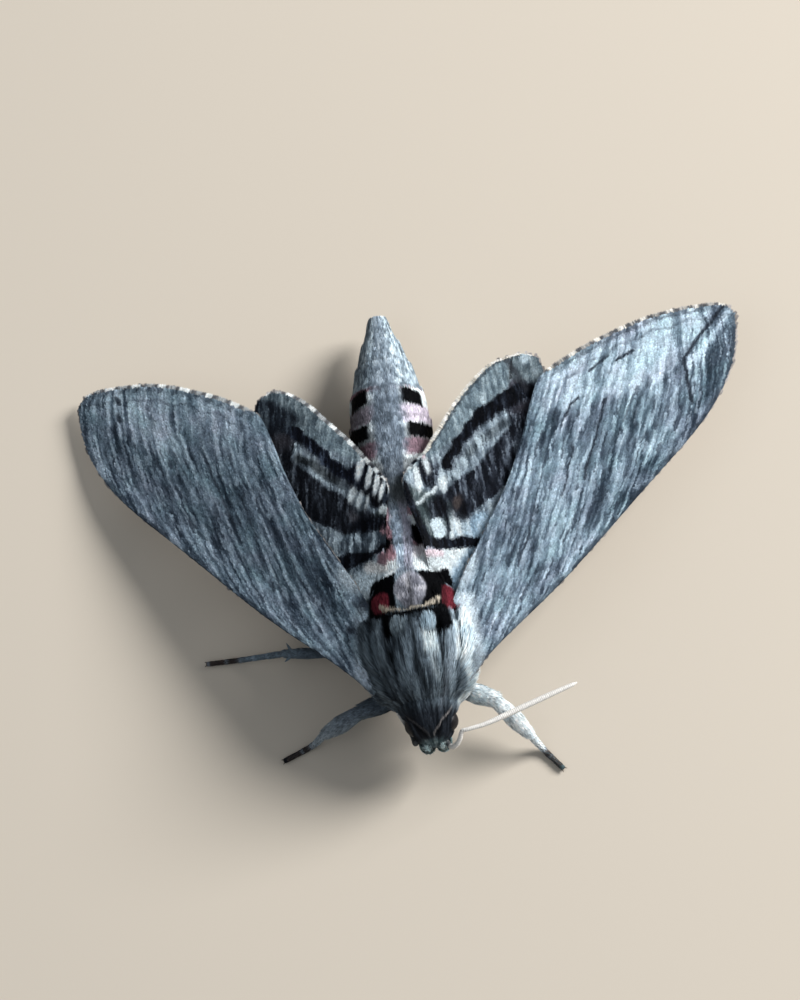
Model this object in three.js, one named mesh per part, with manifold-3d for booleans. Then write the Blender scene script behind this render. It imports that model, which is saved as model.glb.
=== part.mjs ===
// Convolvulus hawk moth, life size, standing with the wings half open.
// Millimetres. +X is the moth's left, -Y its head, +Y its tail, +Z up.
import * as THREE from 'three';
import { mergeVertices } from 'three/addons/utils/BufferGeometryUtils.js';
import Module from 'manifold-3d';

const wasm = await Module();
wasm.setup();

// ---------- driving dimensions ----------

// Clearances: between trunk pieces, at the leg joints and round the eyes.
const GAP = 0.2;
const JOINT_GAP = 0.15;
const SOCKET_GAP = 0.12;
const TRUNK_SIDES = 22;

// Trunk, coat included: distance along the body, axis height, half width, half height.
const TRUNK = [
  [-13.1, 6.4, 1.15, 1.1],
  [-12.7, 6.65, 1.75, 1.85],
  [-11.8, 7.0, 2.35, 2.65],
  [-10.6, 7.4, 2.85, 3.15],
  [-9.2, 7.9, 3.7, 3.7],
  [-8.0, 8.3, 4.9, 4.6],
  [-6.5, 8.8, 5.8, 5.3],
  [-4.0, 9.1, 6.3, 5.9],
  [-1.0, 9.2, 6.4, 6.1],
  [2.0, 9.1, 6.1, 5.7],
  [5.0, 8.8, 5.4, 4.9],
  [7.8, 8.3, 4.7, 4.3],
  [11.0, 7.9, 4.7, 4.4],
  [16.0, 7.3, 4.8, 4.6],
  [21.0, 6.6, 4.9, 4.5],
  [25.3, 5.9, 4.7, 4.3],
  [28.5, 5.4, 4.1, 3.7],
  [31.0, 5.0, 3.4, 3.0],
  [33.2, 4.6, 2.7, 2.4],
  [35.4, 4.2, 1.9, 1.8],
  [37.0, 3.9, 1.4, 1.35],
  [37.6, 3.8, 1.1, 1.1],
];

const HEAD_SPAN = [-13.1, -9.3];
const COLLAR_SPAN = [-9.3, -7.0];
const THORAX_SPAN = [-7.0, 3.2];
const METATHORAX_SPAN = [3.2, 7.8];
const ABDOMEN_ENDS = [7.8, 11.6, 15.5, 19.4, 23.3, 27.2, 30.6, 33.6, 37.6];

const EYE_CENTRE = [1.7, -10.6, 7.25];
const EYE_RADIUS = 1.25;

const PALP_CENTRE = [0.85, -12.3, 5.4];
const PALP_HALF = [0.85, 1.05, 1.75];
const PALP_TILT = 24;

// Shoulder flaps: angle from the top of the thorax, start and end along it, thickness.
const TEGULA = { from: 26, to: 60, start: -6.4, end: 2.6, inner: -0.75, outer: 0.3 };

// Wings. Every wing of a side lies in one roof that slopes down away from the body.
const WING_THICKNESS = 0.6;
const HINDWING_OFFSET = -1.0;
const ROOF_CAMBER = 1.5;
const ROOF_WIDTH = 24;
const ROOF_DROOP = 1.2;
const ROOF_LIFT = 1.55;
const ROOF_BLEND = 0.6;
const REST_START = 2.5;
const REST_END = 7;
const WING_LENGTH = 47.5;
const FOREWING_ROOT = [5.2, -3.6, 12.0];
const HINDWING_ROOT = [3.2, 4.6];
const SIDES = {
  left: { sign: 1, sweep: 50.0, drop: 6.5, bank: 4.0, hind: 25.5 },
  right: { sign: -1, sweep: 43.5, drop: 12.5, bank: 8.0, hind: 24.5 },
};

// Wing outlines: distance out from the root, distance back from the leading edge line.
// The left hindwing is drawn a little further out from under the forewing than the right.
const FOREWING_FRONT = [
  [-3.6, -2.9], [2.3, -2.7], [12.6, -3.0], [25.7, -2.5], [34.6, -2.1], [39.6, -1.2],
  [43.8, 0.5], [46.9, 2.9], [48.2, 4.4],
];
const FOREWING_BACK = {
  left: [
    [-3.4, 1.6], [1.0, 3.4], [5.2, 5.1], [11.0, 6.9], [16.0, 8.5], [21.0, 10.8],
    [24.6, 12.8], [27.9, 14.2], [31.7, 13.7], [35.8, 12.5], [41.3, 10.3], [46.6, 6.9],
    [48.2, 5.2],
  ],
  right: [
    [-3.4, 1.6], [1.0, 3.4], [5.2, 5.1], [11.0, 6.9], [16.0, 8.5], [21.0, 10.8],
    [24.6, 12.8], [28.2, 14.4], [31.9, 14.1], [36.0, 13.0], [41.5, 10.8], [46.7, 7.1],
    [48.2, 5.3],
  ],
};
const HINDWING_FRONT = [
  [-1.5, -2.0], [5.0, -3.8], [12.0, -5.0], [20.0, -4.6], [26.0, -2.6], [28.9, -0.3],
];
const HINDWING_BACK = {
  left: [
    [-1.5, 1.6], [4.2, 4.7], [8.0, 7.5], [10.2, 8.8], [12.4, 8.8], [14.4, 7.9],
    [17.3, 7.3], [20.5, 6.6], [23.6, 5.6], [26.6, 4.0], [28.7, 1.3],
  ],
  right: [
    [-1.5, 1.6], [4.2, 3.9], [8.7, 6.2], [10.6, 7.4], [12.5, 7.6], [15.1, 7.1],
    [18.6, 6.3], [22.0, 5.2], [25.1, 4.2], [27.6, 2.8], [29.1, 1.1],
  ],
};

// Legs: hip, knee, ankle, start and end of the flat last joints of the foot.
const LEGS = {
  foreleg: {
    left: [[2.6, -6.4, 5.2], [7.0, -8.7, 5.6], [10.0, -12.4, 2.9], [11.9, -14.8], [13.2, -16.5]],
    right: [[2.6, -6.6, 5.2], [7.4, -7.6, 5.4], [12.0, -8.9, 2.9], [15.2, -9.9], [17.5, -10.7]],
  },
  midleg: {
    left: [[3.0, -2.6, 4.8], [9.0, -0.2, 6.4], [12.9, 3.2, 2.6], [17.0, 7.6], [18.4, 9.4]],
    right: [[3.0, -2.6, 4.8], [9.4, -0.9, 6.0], [15.4, 0.9, 2.4], [22.4, 1.6], [24.8, 1.7]],
  },
  hindleg: {
    left: [[3.0, 2.6, 5.0], [8.0, 6.6, 6.2], [10.6, 13.4, 2.6], [12.4, 20.0], [13.0, 22.6]],
    right: [[3.0, 2.6, 5.0], [7.8, 6.8, 6.0], [10.0, 13.8, 2.4], [11.2, 20.4], [11.6, 23.0]],
  },
};
const LEG_RADII = {
  foreleg: { femur: [0.85, 1.15, 0.9], tibia: [0.8, 1.05, 0.65], tarsus: [0.5, 0.42, 0.34] },
  midleg: { femur: [0.7, 0.85, 0.6], tibia: [0.5, 0.65, 0.5], tarsus: [0.42, 0.36, 0.32] },
  hindleg: { femur: [0.7, 0.85, 0.6], tibia: [0.5, 0.65, 0.5], tarsus: [0.42, 0.36, 0.32] },
};
const LEG_SIDES = 8;
const SPURS = { foreleg: [], midleg: [0.84], hindleg: [0.5, 0.84] };
const SPUR_LENGTH = 1.7;
const SPUR_RADIUS = 0.27;

// Feelers: the left stands out from the head, the right is tucked back under the breast.
const FEELER_RADII = [0.34, 0.32, 0.27, 0.3, 0.36, 0.38, 0.37, 0.33, 0.26];
const FEELERS = {
  left: [
    [1.05, -12.3, 6.7], [1.75, -13.4, 7.0], [2.35, -13.47, 7.8], [2.83, -13.07, 8.3],
    [3.09, -12.6, 8.75], [3.31, -12.32, 9.0], [3.8, -12.29, 9.1], [5.77, -11.97, 8.9],
    [8.78, -11.04, 8.45], [12.82, -9.73, 7.85], [16.08, -8.71, 7.35],
  ],
  right: [
    [1.5, -11.8, 6.8], [2.0, -12.25, 6.3], [2.2, -12.1, 5.6], [2.35, -11.4, 5.05],
    [2.65, -10.5, 4.5], [3.05, -9.5, 4.0], [3.6, -8.3, 3.5], [4.2, -6.7, 3.3],
    [4.9, -5.1, 3.8], [5.6, -3.8, 4.9], [6.3, -2.9, 6.0], [7.1, -1.7, 7.0],
    [7.8, -0.2, 7.4],
  ],
};

// ---------- shape tools ----------

function interpolate(table, position, column) {
  const last = table.length - 1;
  let i = 0;
  while (i < last - 1 && position > table[i + 1][0]) i += 1;
  const t = (position - table[i][0]) / (table[i + 1][0] - table[i][0]);
  const k = THREE.MathUtils.clamp(t, 0, 1);
  const slope = (n) => {
    const a = Math.max(n - 1, 0);
    const b = Math.min(n + 1, last);
    return (table[b][column] - table[a][column]) / (table[b][0] - table[a][0]);
  };
  const span = table[i + 1][0] - table[i][0];
  const k2 = k * k;
  const k3 = k2 * k;
  return (2 * k3 - 3 * k2 + 1) * table[i][column] + (k3 - 2 * k2 + k) * span * slope(i)
    + (3 * k2 - 2 * k3) * table[i + 1][column] + (k3 - k2) * span * slope(i + 1);
}

function trunkPoint(along, angle, reach, grow) {
  const width = interpolate(TRUNK, along, 2) + grow;
  const height = interpolate(TRUNK, along, 3) + grow;
  const x = reach * width * Math.sin(angle);
  const z = interpolate(TRUNK, along, 1) + reach * height * Math.cos(angle);
  return new THREE.Vector3(x, along, z);
}

function trunkTop(x, along) {
  const y = THREE.MathUtils.clamp(along, TRUNK[0][0], TRUNK[TRUNK.length - 1][0]);
  const width = interpolate(TRUNK, y, 2);
  const height = interpolate(TRUNK, y, 3);
  const side = Math.min(Math.abs(x) / width, 1);
  return interpolate(TRUNK, y, 1) + height * Math.sqrt(1 - side * side);
}

function remap(geometry, place, flip = false) {
  const source = geometry.getAttribute('position');
  const point = new THREE.Vector3();
  for (let i = 0; i < source.count; i += 1) {
    point.fromBufferAttribute(source, i);
    const moved = place(point);
    source.setXYZ(i, moved.x, moved.y, moved.z);
  }
  geometry.deleteAttribute('normal');
  geometry.deleteAttribute('uv');
  const welded = mergeVertices(geometry, 1e-5);
  if (flip) welded.getIndex().array.reverse();
  return welded;
}

function toSolid(geometry) {
  const vertProperties = new Float32Array(geometry.getAttribute('position').array);
  const triVerts = new Uint32Array(geometry.getIndex().array);
  return new wasm.Manifold(new wasm.Mesh({ numProp: 3, vertProperties, triVerts }));
}

function toGeometry(solid) {
  const mesh = solid.getMesh();
  const geometry = new THREE.BufferGeometry();
  const positions = new Float32Array(mesh.vertProperties);
  geometry.setAttribute('position', new THREE.BufferAttribute(positions, 3));
  geometry.setIndex(Array.from(mesh.triVerts));
  return geometry;
}

function trunkPiece(span, rings, { grow = 0, gap = GAP, bulge = 0 } = {}) {
  const start = span[0] + gap / 2;
  const end = span[1] - gap / 2;
  const barrel = new THREE.CylinderGeometry(1, 1, 1, TRUNK_SIDES, rings);
  return toSolid(remap(barrel, (p) => {
    const t = p.y + 0.5;
    const angle = Math.atan2(p.x, p.z);
    const swell = 1 - bulge * (1 - 4 * t * (1 - t));
    const along = THREE.MathUtils.lerp(start, end, t);
    return trunkPoint(along, angle, Math.hypot(p.x, p.z) * swell, grow);
  }));
}

function through(points) {
  return new THREE.CatmullRomCurve3(points, false, 'centripetal');
}

function tube(path, radii, segments, sides, grow = 0) {
  const shape = new THREE.CylinderGeometry(1, 1, 1, sides, segments, false, Math.PI / sides);
  const up = new THREE.Vector3(0, 0, 1);
  return toSolid(remap(shape, (p) => {
    const t = p.y + 0.5;
    const centre = path.getPointAt(t);
    const forward = path.getTangentAt(t);
    const side = new THREE.Vector3().crossVectors(forward, up).normalize();
    const top = new THREE.Vector3().crossVectors(side, forward);
    const place = t * (radii.length - 1);
    const low = Math.min(Math.floor(place), radii.length - 2);
    const radius = THREE.MathUtils.lerp(radii[low], radii[low + 1], place - low) + grow;
    centre.addScaledVector(forward, p.y * 2 * grow);
    return centre.addScaledVector(side, p.x * radius).addScaledVector(top, p.z * radius);
  }));
}

// ---------- wings ----------

function outline(points) {
  const knots = points.map(([x, y]) => new THREE.Vector2(x, y));
  return new THREE.SplineCurve(knots);
}

function roofPoint(side, out, back, offset) {
  const { sign, sweep, drop, bank } = SIDES[side];
  const a = THREE.MathUtils.degToRad(sweep);
  const dip = Math.tan(THREE.MathUtils.degToRad(drop));
  const rise = Math.tan(THREE.MathUtils.degToRad(bank));
  const x = FOREWING_ROOT[0] + out * Math.sin(a) - back * Math.cos(a);
  const y = FOREWING_ROOT[1] + out * Math.cos(a) + back * Math.sin(a);
  const arch = Math.sin(Math.PI * THREE.MathUtils.clamp(back / ROOF_WIDTH, 0, 1));
  const roof = FOREWING_ROOT[2] - out * dip + back * rise + ROOF_CAMBER * arch
    - ROOF_DROOP * (out / WING_LENGTH) ** 2;
  const hang = 8 * (1 - THREE.MathUtils.smoothstep(y, REST_START, REST_END));
  const lift = trunkTop(x, y) + ROOF_LIFT - hang;
  const gapToLift = Math.abs(roof - lift);
  const draped = Math.max(roof, lift) + ROOF_BLEND * Math.log(1 + Math.exp(-gapToLift / ROOF_BLEND));
  const nearTrunk = Math.abs(x) < 8;
  return new THREE.Vector3(sign * x, y, (nearTrunk ? draped : roof) + offset);
}

function wing(side, front, back, cells, offset, turn, root) {
  const lead = outline(front);
  const trail = outline(back);
  const slab = new THREE.BoxGeometry(1, 1, 1, cells[0], cells[1], 1);
  const c = Math.cos(THREE.MathUtils.degToRad(turn));
  const s = Math.sin(THREE.MathUtils.degToRad(turn));
  return toSolid(remap(slab, (p) => {
    const edge = lead.getPoint(p.x + 0.5);
    edge.lerp(trail.getPoint(p.x + 0.5), p.y + 0.5);
    const out = root[0] + edge.x * c - edge.y * s;
    const away = root[1] + edge.x * s + edge.y * c;
    return roofPoint(side, out, away, offset + p.z * WING_THICKNESS);
  }, SIDES[side].sign < 0));
}

// ---------- assembly ----------

const COLOURS = {
  coat: 0x6f747c,
  eye: 0x17120f,
  feeler: 0xe6e0d2,
  leg: 0x9aa0a8,
  forewing: 0x8f98a3,
  hindwing: 0x55504e,
};

const moth = new THREE.Group();
moth.name = 'hawk_moth';

function place(name, solid, colour) {
  const geometry = toGeometry(solid);
  const material = new THREE.MeshStandardMaterial({ color: COLOURS[colour], roughness: 0.8 });
  const mesh = new THREE.Mesh(geometry, material);
  mesh.name = name;
  moth.add(mesh);
}

function ball(centre, half, tilt, columns, rows) {
  const sphere = new THREE.SphereGeometry(1, columns, rows);
  sphere.scale(half[0], half[1], half[2]);
  sphere.rotateX(THREE.MathUtils.degToRad(tilt));
  sphere.translate(centre[0], centre[1], centre[2]);
  return toSolid(remap(sphere, (p) => p.clone()));
}

const wholeTrunk = trunkPiece([TRUNK[0][0], 37.6], 40, { grow: GAP, gap: 0 });

let head = trunkPiece(HEAD_SPAN, 6);
for (const [side, sign] of [['left', 1], ['right', -1]]) {
  const centre = [sign * EYE_CENTRE[0], EYE_CENTRE[1], EYE_CENTRE[2]];
  const socket = EYE_RADIUS + SOCKET_GAP;
  head = head.subtract(ball(centre, [socket, socket, socket], 0, 10, 8));
  place(`eye_${side}`, ball(centre, [EYE_RADIUS, EYE_RADIUS, EYE_RADIUS], 0, 12, 9), 'eye');
  const palpCentre = [sign * PALP_CENTRE[0], PALP_CENTRE[1], PALP_CENTRE[2]];
  const palp = ball(palpCentre, PALP_HALF, PALP_TILT, 10, 8);
  place(`palp_${side}`, palp.subtract(wholeTrunk), 'coat');
}
place('head', head, 'coat');
place('collar', trunkPiece(COLLAR_SPAN, 3), 'coat');
place('metathorax', trunkPiece(METATHORAX_SPAN, 4), 'coat');
for (let i = 0; i < 7; i += 1) {
  const span = [ABDOMEN_ENDS[i], ABDOMEN_ENDS[i + 1]];
  place(`abdomen_${i + 1}`, trunkPiece(span, 2, { bulge: 0.03 }), 'coat');
}
place('abdomen_tip', trunkPiece([ABDOMEN_ENDS[7], ABDOMEN_ENDS[8]], 5), 'coat');

function tegula(sign, grow) {
  const pad = new THREE.BoxGeometry(1, 1, 1, 3, 7, 1);
  const { from, to, start, end, inner, outer } = TEGULA;
  return toSolid(remap(pad, (p) => {
    const t = p.y + 0.5;
    const waist = 1 - 0.55 * (2 * t - 1) ** 2;
    const middle = (from + to) / 2;
    const angle = middle + p.x * ((to - from) * waist + grow * 18);
    const along = THREE.MathUtils.lerp(start - grow, end + grow, t);
    const level = p.z > 0 ? outer * (1 - (2 * t - 1) ** 4) + grow : inner - grow;
    return trunkPoint(along, sign * THREE.MathUtils.degToRad(angle), 1, level);
  }, sign < 0));
}

let thorax = trunkPiece(THORAX_SPAN, 7);
for (const [side, sign] of [['left', 1], ['right', -1]]) {
  const flap = tegula(sign, 0);
  const flapRoom = tegula(sign, GAP * 0.75);
  thorax = thorax.subtract(flapRoom);
  place(`tegula_${side}`, flap, 'coat');
  const turn = SIDES[side].hind;
  const forewing = wing(side, FOREWING_FRONT, FOREWING_BACK[side], [24, 5], 0, 0, [0, 0]);
  const hindwing = wing(
    side, HINDWING_FRONT, HINDWING_BACK[side], [18, 5], HINDWING_OFFSET, turn, HINDWING_ROOT,
  );
  place(`forewing_${side}`, forewing.subtract(wholeTrunk).subtract(flapRoom), 'forewing');
  place(`hindwing_${side}`, hindwing.subtract(wholeTrunk), 'hindwing');
}
place('thorax', thorax, 'coat');

function toVector(sign, point, height) {
  return new THREE.Vector3(sign * point[0], point[1], point[2] ?? height);
}

function spurs(knee, ankle, shares) {
  const forward = new THREE.Vector3().subVectors(ankle, knee).normalize();
  const side = new THREE.Vector3().crossVectors(forward, new THREE.Vector3(0, 0, 1)).normalize();
  const made = [];
  for (const share of shares) {
    for (const turn of [-1, 1]) {
      const base = new THREE.Vector3().lerpVectors(knee, ankle, share);
      const tip = base.clone().addScaledVector(forward, SPUR_LENGTH * 0.7);
      tip.addScaledVector(side, turn * SPUR_LENGTH * 0.7);
      made.push(tube(new THREE.LineCurve3(base, tip), [SPUR_RADIUS, SPUR_RADIUS], 1, 4));
    }
  }
  return made;
}

for (const [legName, pair] of Object.entries(LEGS)) {
  for (const [side, joints] of Object.entries(pair)) {
    const sign = SIDES[side].sign;
    const radii = LEG_RADII[legName];
    const footRadius = radii.tarsus[2];
    const sole = footRadius * Math.cos(Math.PI / LEG_SIDES);
    const [hip, knee, ankle, heel, toe] = joints.map((j) => toVector(sign, j, sole));
    const femurPath = new THREE.LineCurve3(hip, knee);
    const tibiaPath = new THREE.LineCurve3(knee, ankle);
    const instep = ankle.clone().lerp(heel, 0.4);
    const landing = heel.clone().lerp(toe, -1);
    const tarsusPath = new THREE.CurvePath();
    tarsusPath.add(new THREE.CubicBezierCurve3(ankle, instep, landing, heel));
    tarsusPath.add(new THREE.LineCurve3(heel, toe));
    const tarsusRadii = [...radii.tarsus, footRadius, footRadius];
    const femur = tube(femurPath, radii.femur, 4, LEG_SIDES);
    const femurRoom = tube(femurPath, radii.femur, 4, LEG_SIDES, JOINT_GAP);
    let tibia = tube(tibiaPath, radii.tibia, 4, LEG_SIDES).subtract(femurRoom);
    const tibiaRoom = tube(tibiaPath, radii.tibia, 4, LEG_SIDES, JOINT_GAP);
    for (const spur of spurs(knee, ankle, SPURS[legName])) {
      tibia = tibia.add(spur);
    }
    const tarsus = tube(tarsusPath, tarsusRadii, 7, LEG_SIDES).subtract(tibiaRoom);
    place(`${legName}_${side}_femur`, femur.subtract(wholeTrunk), 'leg');
    place(`${legName}_${side}_tibia`, tibia, 'leg');
    place(`${legName}_${side}_tarsus`, tarsus, 'leg');
  }
}

for (const [side, points] of Object.entries(FEELERS)) {
  const path = points.map((p) => toVector(SIDES[side].sign, p, 0));
  const feeler = tube(through(path), FEELER_RADII, 20, 7);
  place(`antenna_${side}`, feeler.subtract(wholeTrunk), 'feeler');
}

// Stand the moth on z = 0 with its outline centred on the origin.
const reach = new THREE.Box3().setFromObject(moth);
for (const mesh of moth.children) {
  mesh.geometry.translate(
    -(reach.min.x + reach.max.x) / 2, -(reach.min.y + reach.max.y) / 2, -reach.min.z,
  );
  mesh.geometry.computeVertexNormals();
}

export default moth;
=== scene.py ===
import math

import bmesh
import bpy
import numpy as np
from mathutils import Matrix, Vector


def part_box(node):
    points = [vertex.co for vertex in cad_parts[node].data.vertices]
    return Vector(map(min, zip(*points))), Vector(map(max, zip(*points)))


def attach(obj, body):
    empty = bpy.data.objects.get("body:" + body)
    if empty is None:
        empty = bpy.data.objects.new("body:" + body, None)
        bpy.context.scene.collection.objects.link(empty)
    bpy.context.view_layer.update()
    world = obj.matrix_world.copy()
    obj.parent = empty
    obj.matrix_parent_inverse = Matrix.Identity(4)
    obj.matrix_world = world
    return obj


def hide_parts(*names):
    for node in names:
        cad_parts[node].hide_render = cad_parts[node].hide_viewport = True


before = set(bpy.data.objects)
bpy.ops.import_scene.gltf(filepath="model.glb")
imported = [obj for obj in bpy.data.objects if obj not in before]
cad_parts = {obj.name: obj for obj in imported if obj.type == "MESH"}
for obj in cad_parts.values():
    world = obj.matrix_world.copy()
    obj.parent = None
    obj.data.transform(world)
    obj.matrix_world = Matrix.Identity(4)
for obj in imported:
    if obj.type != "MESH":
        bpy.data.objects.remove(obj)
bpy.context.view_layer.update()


# ---------- camera, floor and light ----------
# The moth is looked at from above and a little from its left, with its head towards the viewer.
# It stands on a plain pale floor. A broad soft lamp on its left lights it, and the room fills in.

MM = 0.001
SNOUT = -13.1
CAMERA_ELEVATION = 72.0
CAMERA_AZIMUTH = 14.0
CAMERA_ROLL = 22.71
CAMERA_DISTANCE = 320.0
CAMERA_TARGET = (0.049, 14.517, 8.0)
CAMERA_LENS = 105.14
KEY_DIRECTION = (0.80, 0.30, 0.52)
LAMP_DISTANCE = 900.0

head_low, head_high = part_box("head")
moth_origin = np.array([(head_low.x + head_high.x) / 2, head_low.y - SNOUT * MM, 0.0])


def in_metres(points):
    """Points of the moth's own frame, in millimetres, as the model's own points in metres."""
    return np.asarray(points, float) * MM + moth_origin


def make_camera():
    elevation = math.radians(CAMERA_ELEVATION)
    azimuth = math.radians(CAMERA_AZIMUTH)
    back = Vector((
        math.sin(azimuth) * math.cos(elevation),
        -math.cos(azimuth) * math.cos(elevation),
        math.sin(elevation),
    ))
    data = bpy.data.cameras.new("camera")
    data.lens = CAMERA_LENS
    data.sensor_width = 36.0
    data.clip_start = 0.01
    data.clip_end = 20.0
    camera = bpy.data.objects.new("camera", data)
    bpy.context.scene.collection.objects.link(camera)
    turn = back.to_track_quat("Z", "Y") @ Matrix.Rotation(-math.radians(CAMERA_ROLL), 3, "Z").to_quaternion()
    place = Vector(in_metres(CAMERA_TARGET)) + back * CAMERA_DISTANCE * MM
    camera.matrix_world = Matrix.Translation(place) @ turn.to_matrix().to_4x4()
    bpy.context.scene.camera = camera


def make_floor():
    half = 3.0
    mesh = bpy.data.meshes.new("floor")
    corners = [(-half, -half, 0), (half, -half, 0), (half, half, 0), (-half, half, 0)]
    mesh.from_pydata(corners, [], [(0, 1, 2, 3)])
    floor = bpy.data.objects.new("floor", mesh)
    bpy.context.scene.collection.objects.link(floor)
    paint = bpy.data.materials.new("pale_floor")
    paint.use_nodes = True
    shader = paint.node_tree.nodes["Principled BSDF"]
    shader.inputs["Base Color"].default_value = (0.62, 0.56, 0.48, 1)
    shader.inputs["Roughness"].default_value = 0.85
    mesh.materials.append(paint)


def make_lamp(name, direction, distance, width, power, colour):
    data = bpy.data.lights.new(name, "AREA")
    data.shape = "DISK"
    data.size = width * MM
    data.energy = power
    data.color = colour
    lamp = bpy.data.objects.new(name, data)
    bpy.context.scene.collection.objects.link(lamp)
    way = Vector(direction).normalized()
    lamp.rotation_euler = way.to_track_quat("Z", "Y").to_euler()
    lamp.location = Vector(in_metres((0, 8, 6))) + way * distance * MM


make_camera()
make_floor()
make_lamp("key_lamp", KEY_DIRECTION, LAMP_DISTANCE, 420.0, 13.5, (1.0, 0.985, 0.96))
make_lamp("fill_lamp", (-0.5, -0.2, 0.9), LAMP_DISTANCE, 700.0, 0.6, (0.93, 0.97, 1.0))
room = bpy.data.worlds.new("room")
room.use_nodes = True
room.node_tree.nodes["Background"].inputs["Color"].default_value = (0.90, 0.95, 1.0, 1)
room.node_tree.nodes["Background"].inputs["Strength"].default_value = 0.26
bpy.context.scene.world = room
bpy.context.scene.view_settings.view_transform = "Standard"


# ---------- trunk ----------
# Head, collar, thorax with its shoulder flaps, and the ringed abdomen, under one unbroken skin.
# The rows are the trunk with its coat on: distance along, axis height, half width, half height.

TRUNK = np.array([
    (-13.1, 6.4, 1.15, 1.1), (-12.7, 6.65, 1.75, 1.85), (-11.8, 7.0, 2.35, 2.65), (-10.6, 7.4, 2.85, 3.15),
    (-9.2, 7.9, 3.7, 3.7), (-8.0, 8.3, 4.9, 4.6), (-6.5, 8.8, 5.8, 5.3), (-4.0, 9.1, 6.3, 5.9),
    (-1.0, 9.2, 6.4, 6.1), (2.0, 9.1, 6.1, 5.7), (5.0, 8.8, 5.4, 4.9), (7.8, 8.3, 4.7, 4.3),
    (11.0, 7.9, 4.7, 4.4), (16.0, 7.3, 4.8, 4.6), (21.0, 6.6, 4.9, 4.5), (25.3, 5.9, 4.7, 4.3),
    (28.5, 5.4, 4.1, 3.7), (31.0, 5.0, 3.4, 3.0), (33.2, 4.6, 2.7, 2.4), (35.4, 4.2, 1.9, 1.8),
    (37.0, 3.9, 1.4, 1.35), (37.6, 3.8, 1.1, 1.1),
])
TAIL_END = 37.6
COLLAR_START = -9.3
THORAX_START = -7.0
ABDOMEN_ENDS = np.array([7.8, 11.6, 15.5, 19.4, 23.3, 27.2, 30.6, 33.6, 37.6])
COAT_DEPTH = np.array([
    (-13.1, 0.22), (-11.0, 0.32), (-9.0, 0.55), (-5.0, 0.75), (2.0, 0.75), (7.0, 0.6), (12.0, 0.42),
    (30.0, 0.4), (37.6, 0.45),
])
EYE_CENTRE = np.array([1.7, -10.6, 7.25])
EYE_RADIUS = 1.25
PALP_CENTRE = np.array([0.85, -12.3, 5.4])
PALP_HALF = np.array([0.85, 1.05, 1.75])
PALP_TILT = math.radians(24)
TUFT_PLACE = (-1.4, 19.0)
NOSE_START = -12.1
NOSE_LENGTH = 0.97
SKIN_SIDES = 156
SKIN_START = -12.95
FACE_END = -8.0
SKIN_END = 37.3
FACE_STEP = 0.09
TRUNK_STEP = 0.16
NOSE_CAP = -0.14
TAIL_CAP = 0.25


def blend(start, start_slope, end, end_slope, share):
    """Smooth curve between two points with given slopes."""
    square = share * share
    cube = square * share
    return (
        (2 * cube - 3 * square + 1) * start + (cube - 2 * square + share) * start_slope
        + (3 * square - 2 * cube) * end + (cube - square) * end_slope
    )


def trunk_section(along):
    """Axis height, half width and half height of the trunk at each distance along it."""
    last = len(TRUNK) - 1
    before = np.maximum(np.arange(last + 1) - 1, 0)
    after = np.minimum(np.arange(last + 1) + 1, last)
    knots = TRUNK[:, 0]
    slopes = (TRUNK[after] - TRUNK[before]) / (knots[after] - knots[before])[:, None]
    row = np.clip(np.searchsorted(knots, along, "right") - 1, 0, last - 1)
    span = (knots[row + 1] - knots[row])[..., None]
    share = np.clip((np.asarray(along)[..., None] - knots[row][..., None]) / span, 0, 1)
    found = blend(TRUNK[row], slopes[row] * span, TRUNK[row + 1], slopes[row + 1] * span, share)
    return found[..., 1], found[..., 2], found[..., 3]


def trunk_point(along, angle, grow):
    """A point of the trunk, by its distance along and its angle from the top, in radians."""
    axis, width, height = trunk_section(along)
    return np.stack([(width + grow) * np.sin(angle), along, axis + (height + grow) * np.cos(angle)], -1)


def trunk_top(across, along):
    axis, width, height = trunk_section(along)
    return axis + height * np.sqrt(1 - np.minimum(np.abs(across) / width, 1) ** 2)


def ease(value, low, high):
    """0 up to low, 1 from high on, and smooth between."""
    share = np.clip((value - low) / (high - low), 0, 1)
    return share * share * (3 - 2 * share)


def band(value, low, high, soft):
    """1 from low to high, fading to 0 over soft on each side."""
    return ease(value, low - soft, low + soft) * (1 - ease(value, high - soft, high + soft))


def ridge(value, centre, width):
    """A smooth hump that is 1 at its centre and fades to both sides."""
    return np.exp(-((value - centre) / width) ** 2)


def read_table(value, table):
    """Reads a table of (place, amount) rows at each value."""
    return np.interp(value, table[:, 0], table[:, 1])


def grain(x, y, seed):
    """Soft random hills from 0 to 1, about one unit apart."""
    column = np.floor(x)
    row = np.floor(y)
    right = ease(x - column, 0, 1)
    up = ease(y - row, 0, 1)

    def knot(step_x, step_y):
        wave = np.sin((column + step_x) * 127.1 + (row + step_y) * 311.7 + seed * 74.7)
        return np.modf(np.abs(wave) * 43758.5453)[0]

    low = knot(0, 0) * (1 - right) + knot(1, 0) * right
    high = knot(0, 1) * (1 - right) + knot(1, 1) * right
    return low * (1 - up) + high * up


def mottle(x, y, seed):
    """Cloudy blotches from 0 to 1, in three sizes."""
    fine = grain(4.3 * x, 4.3 * y, seed + 2)
    return 0.55 * grain(x, y, seed) + 0.3 * grain(2.1 * x, 2.1 * y, seed + 1) + 0.15 * fine


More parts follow.
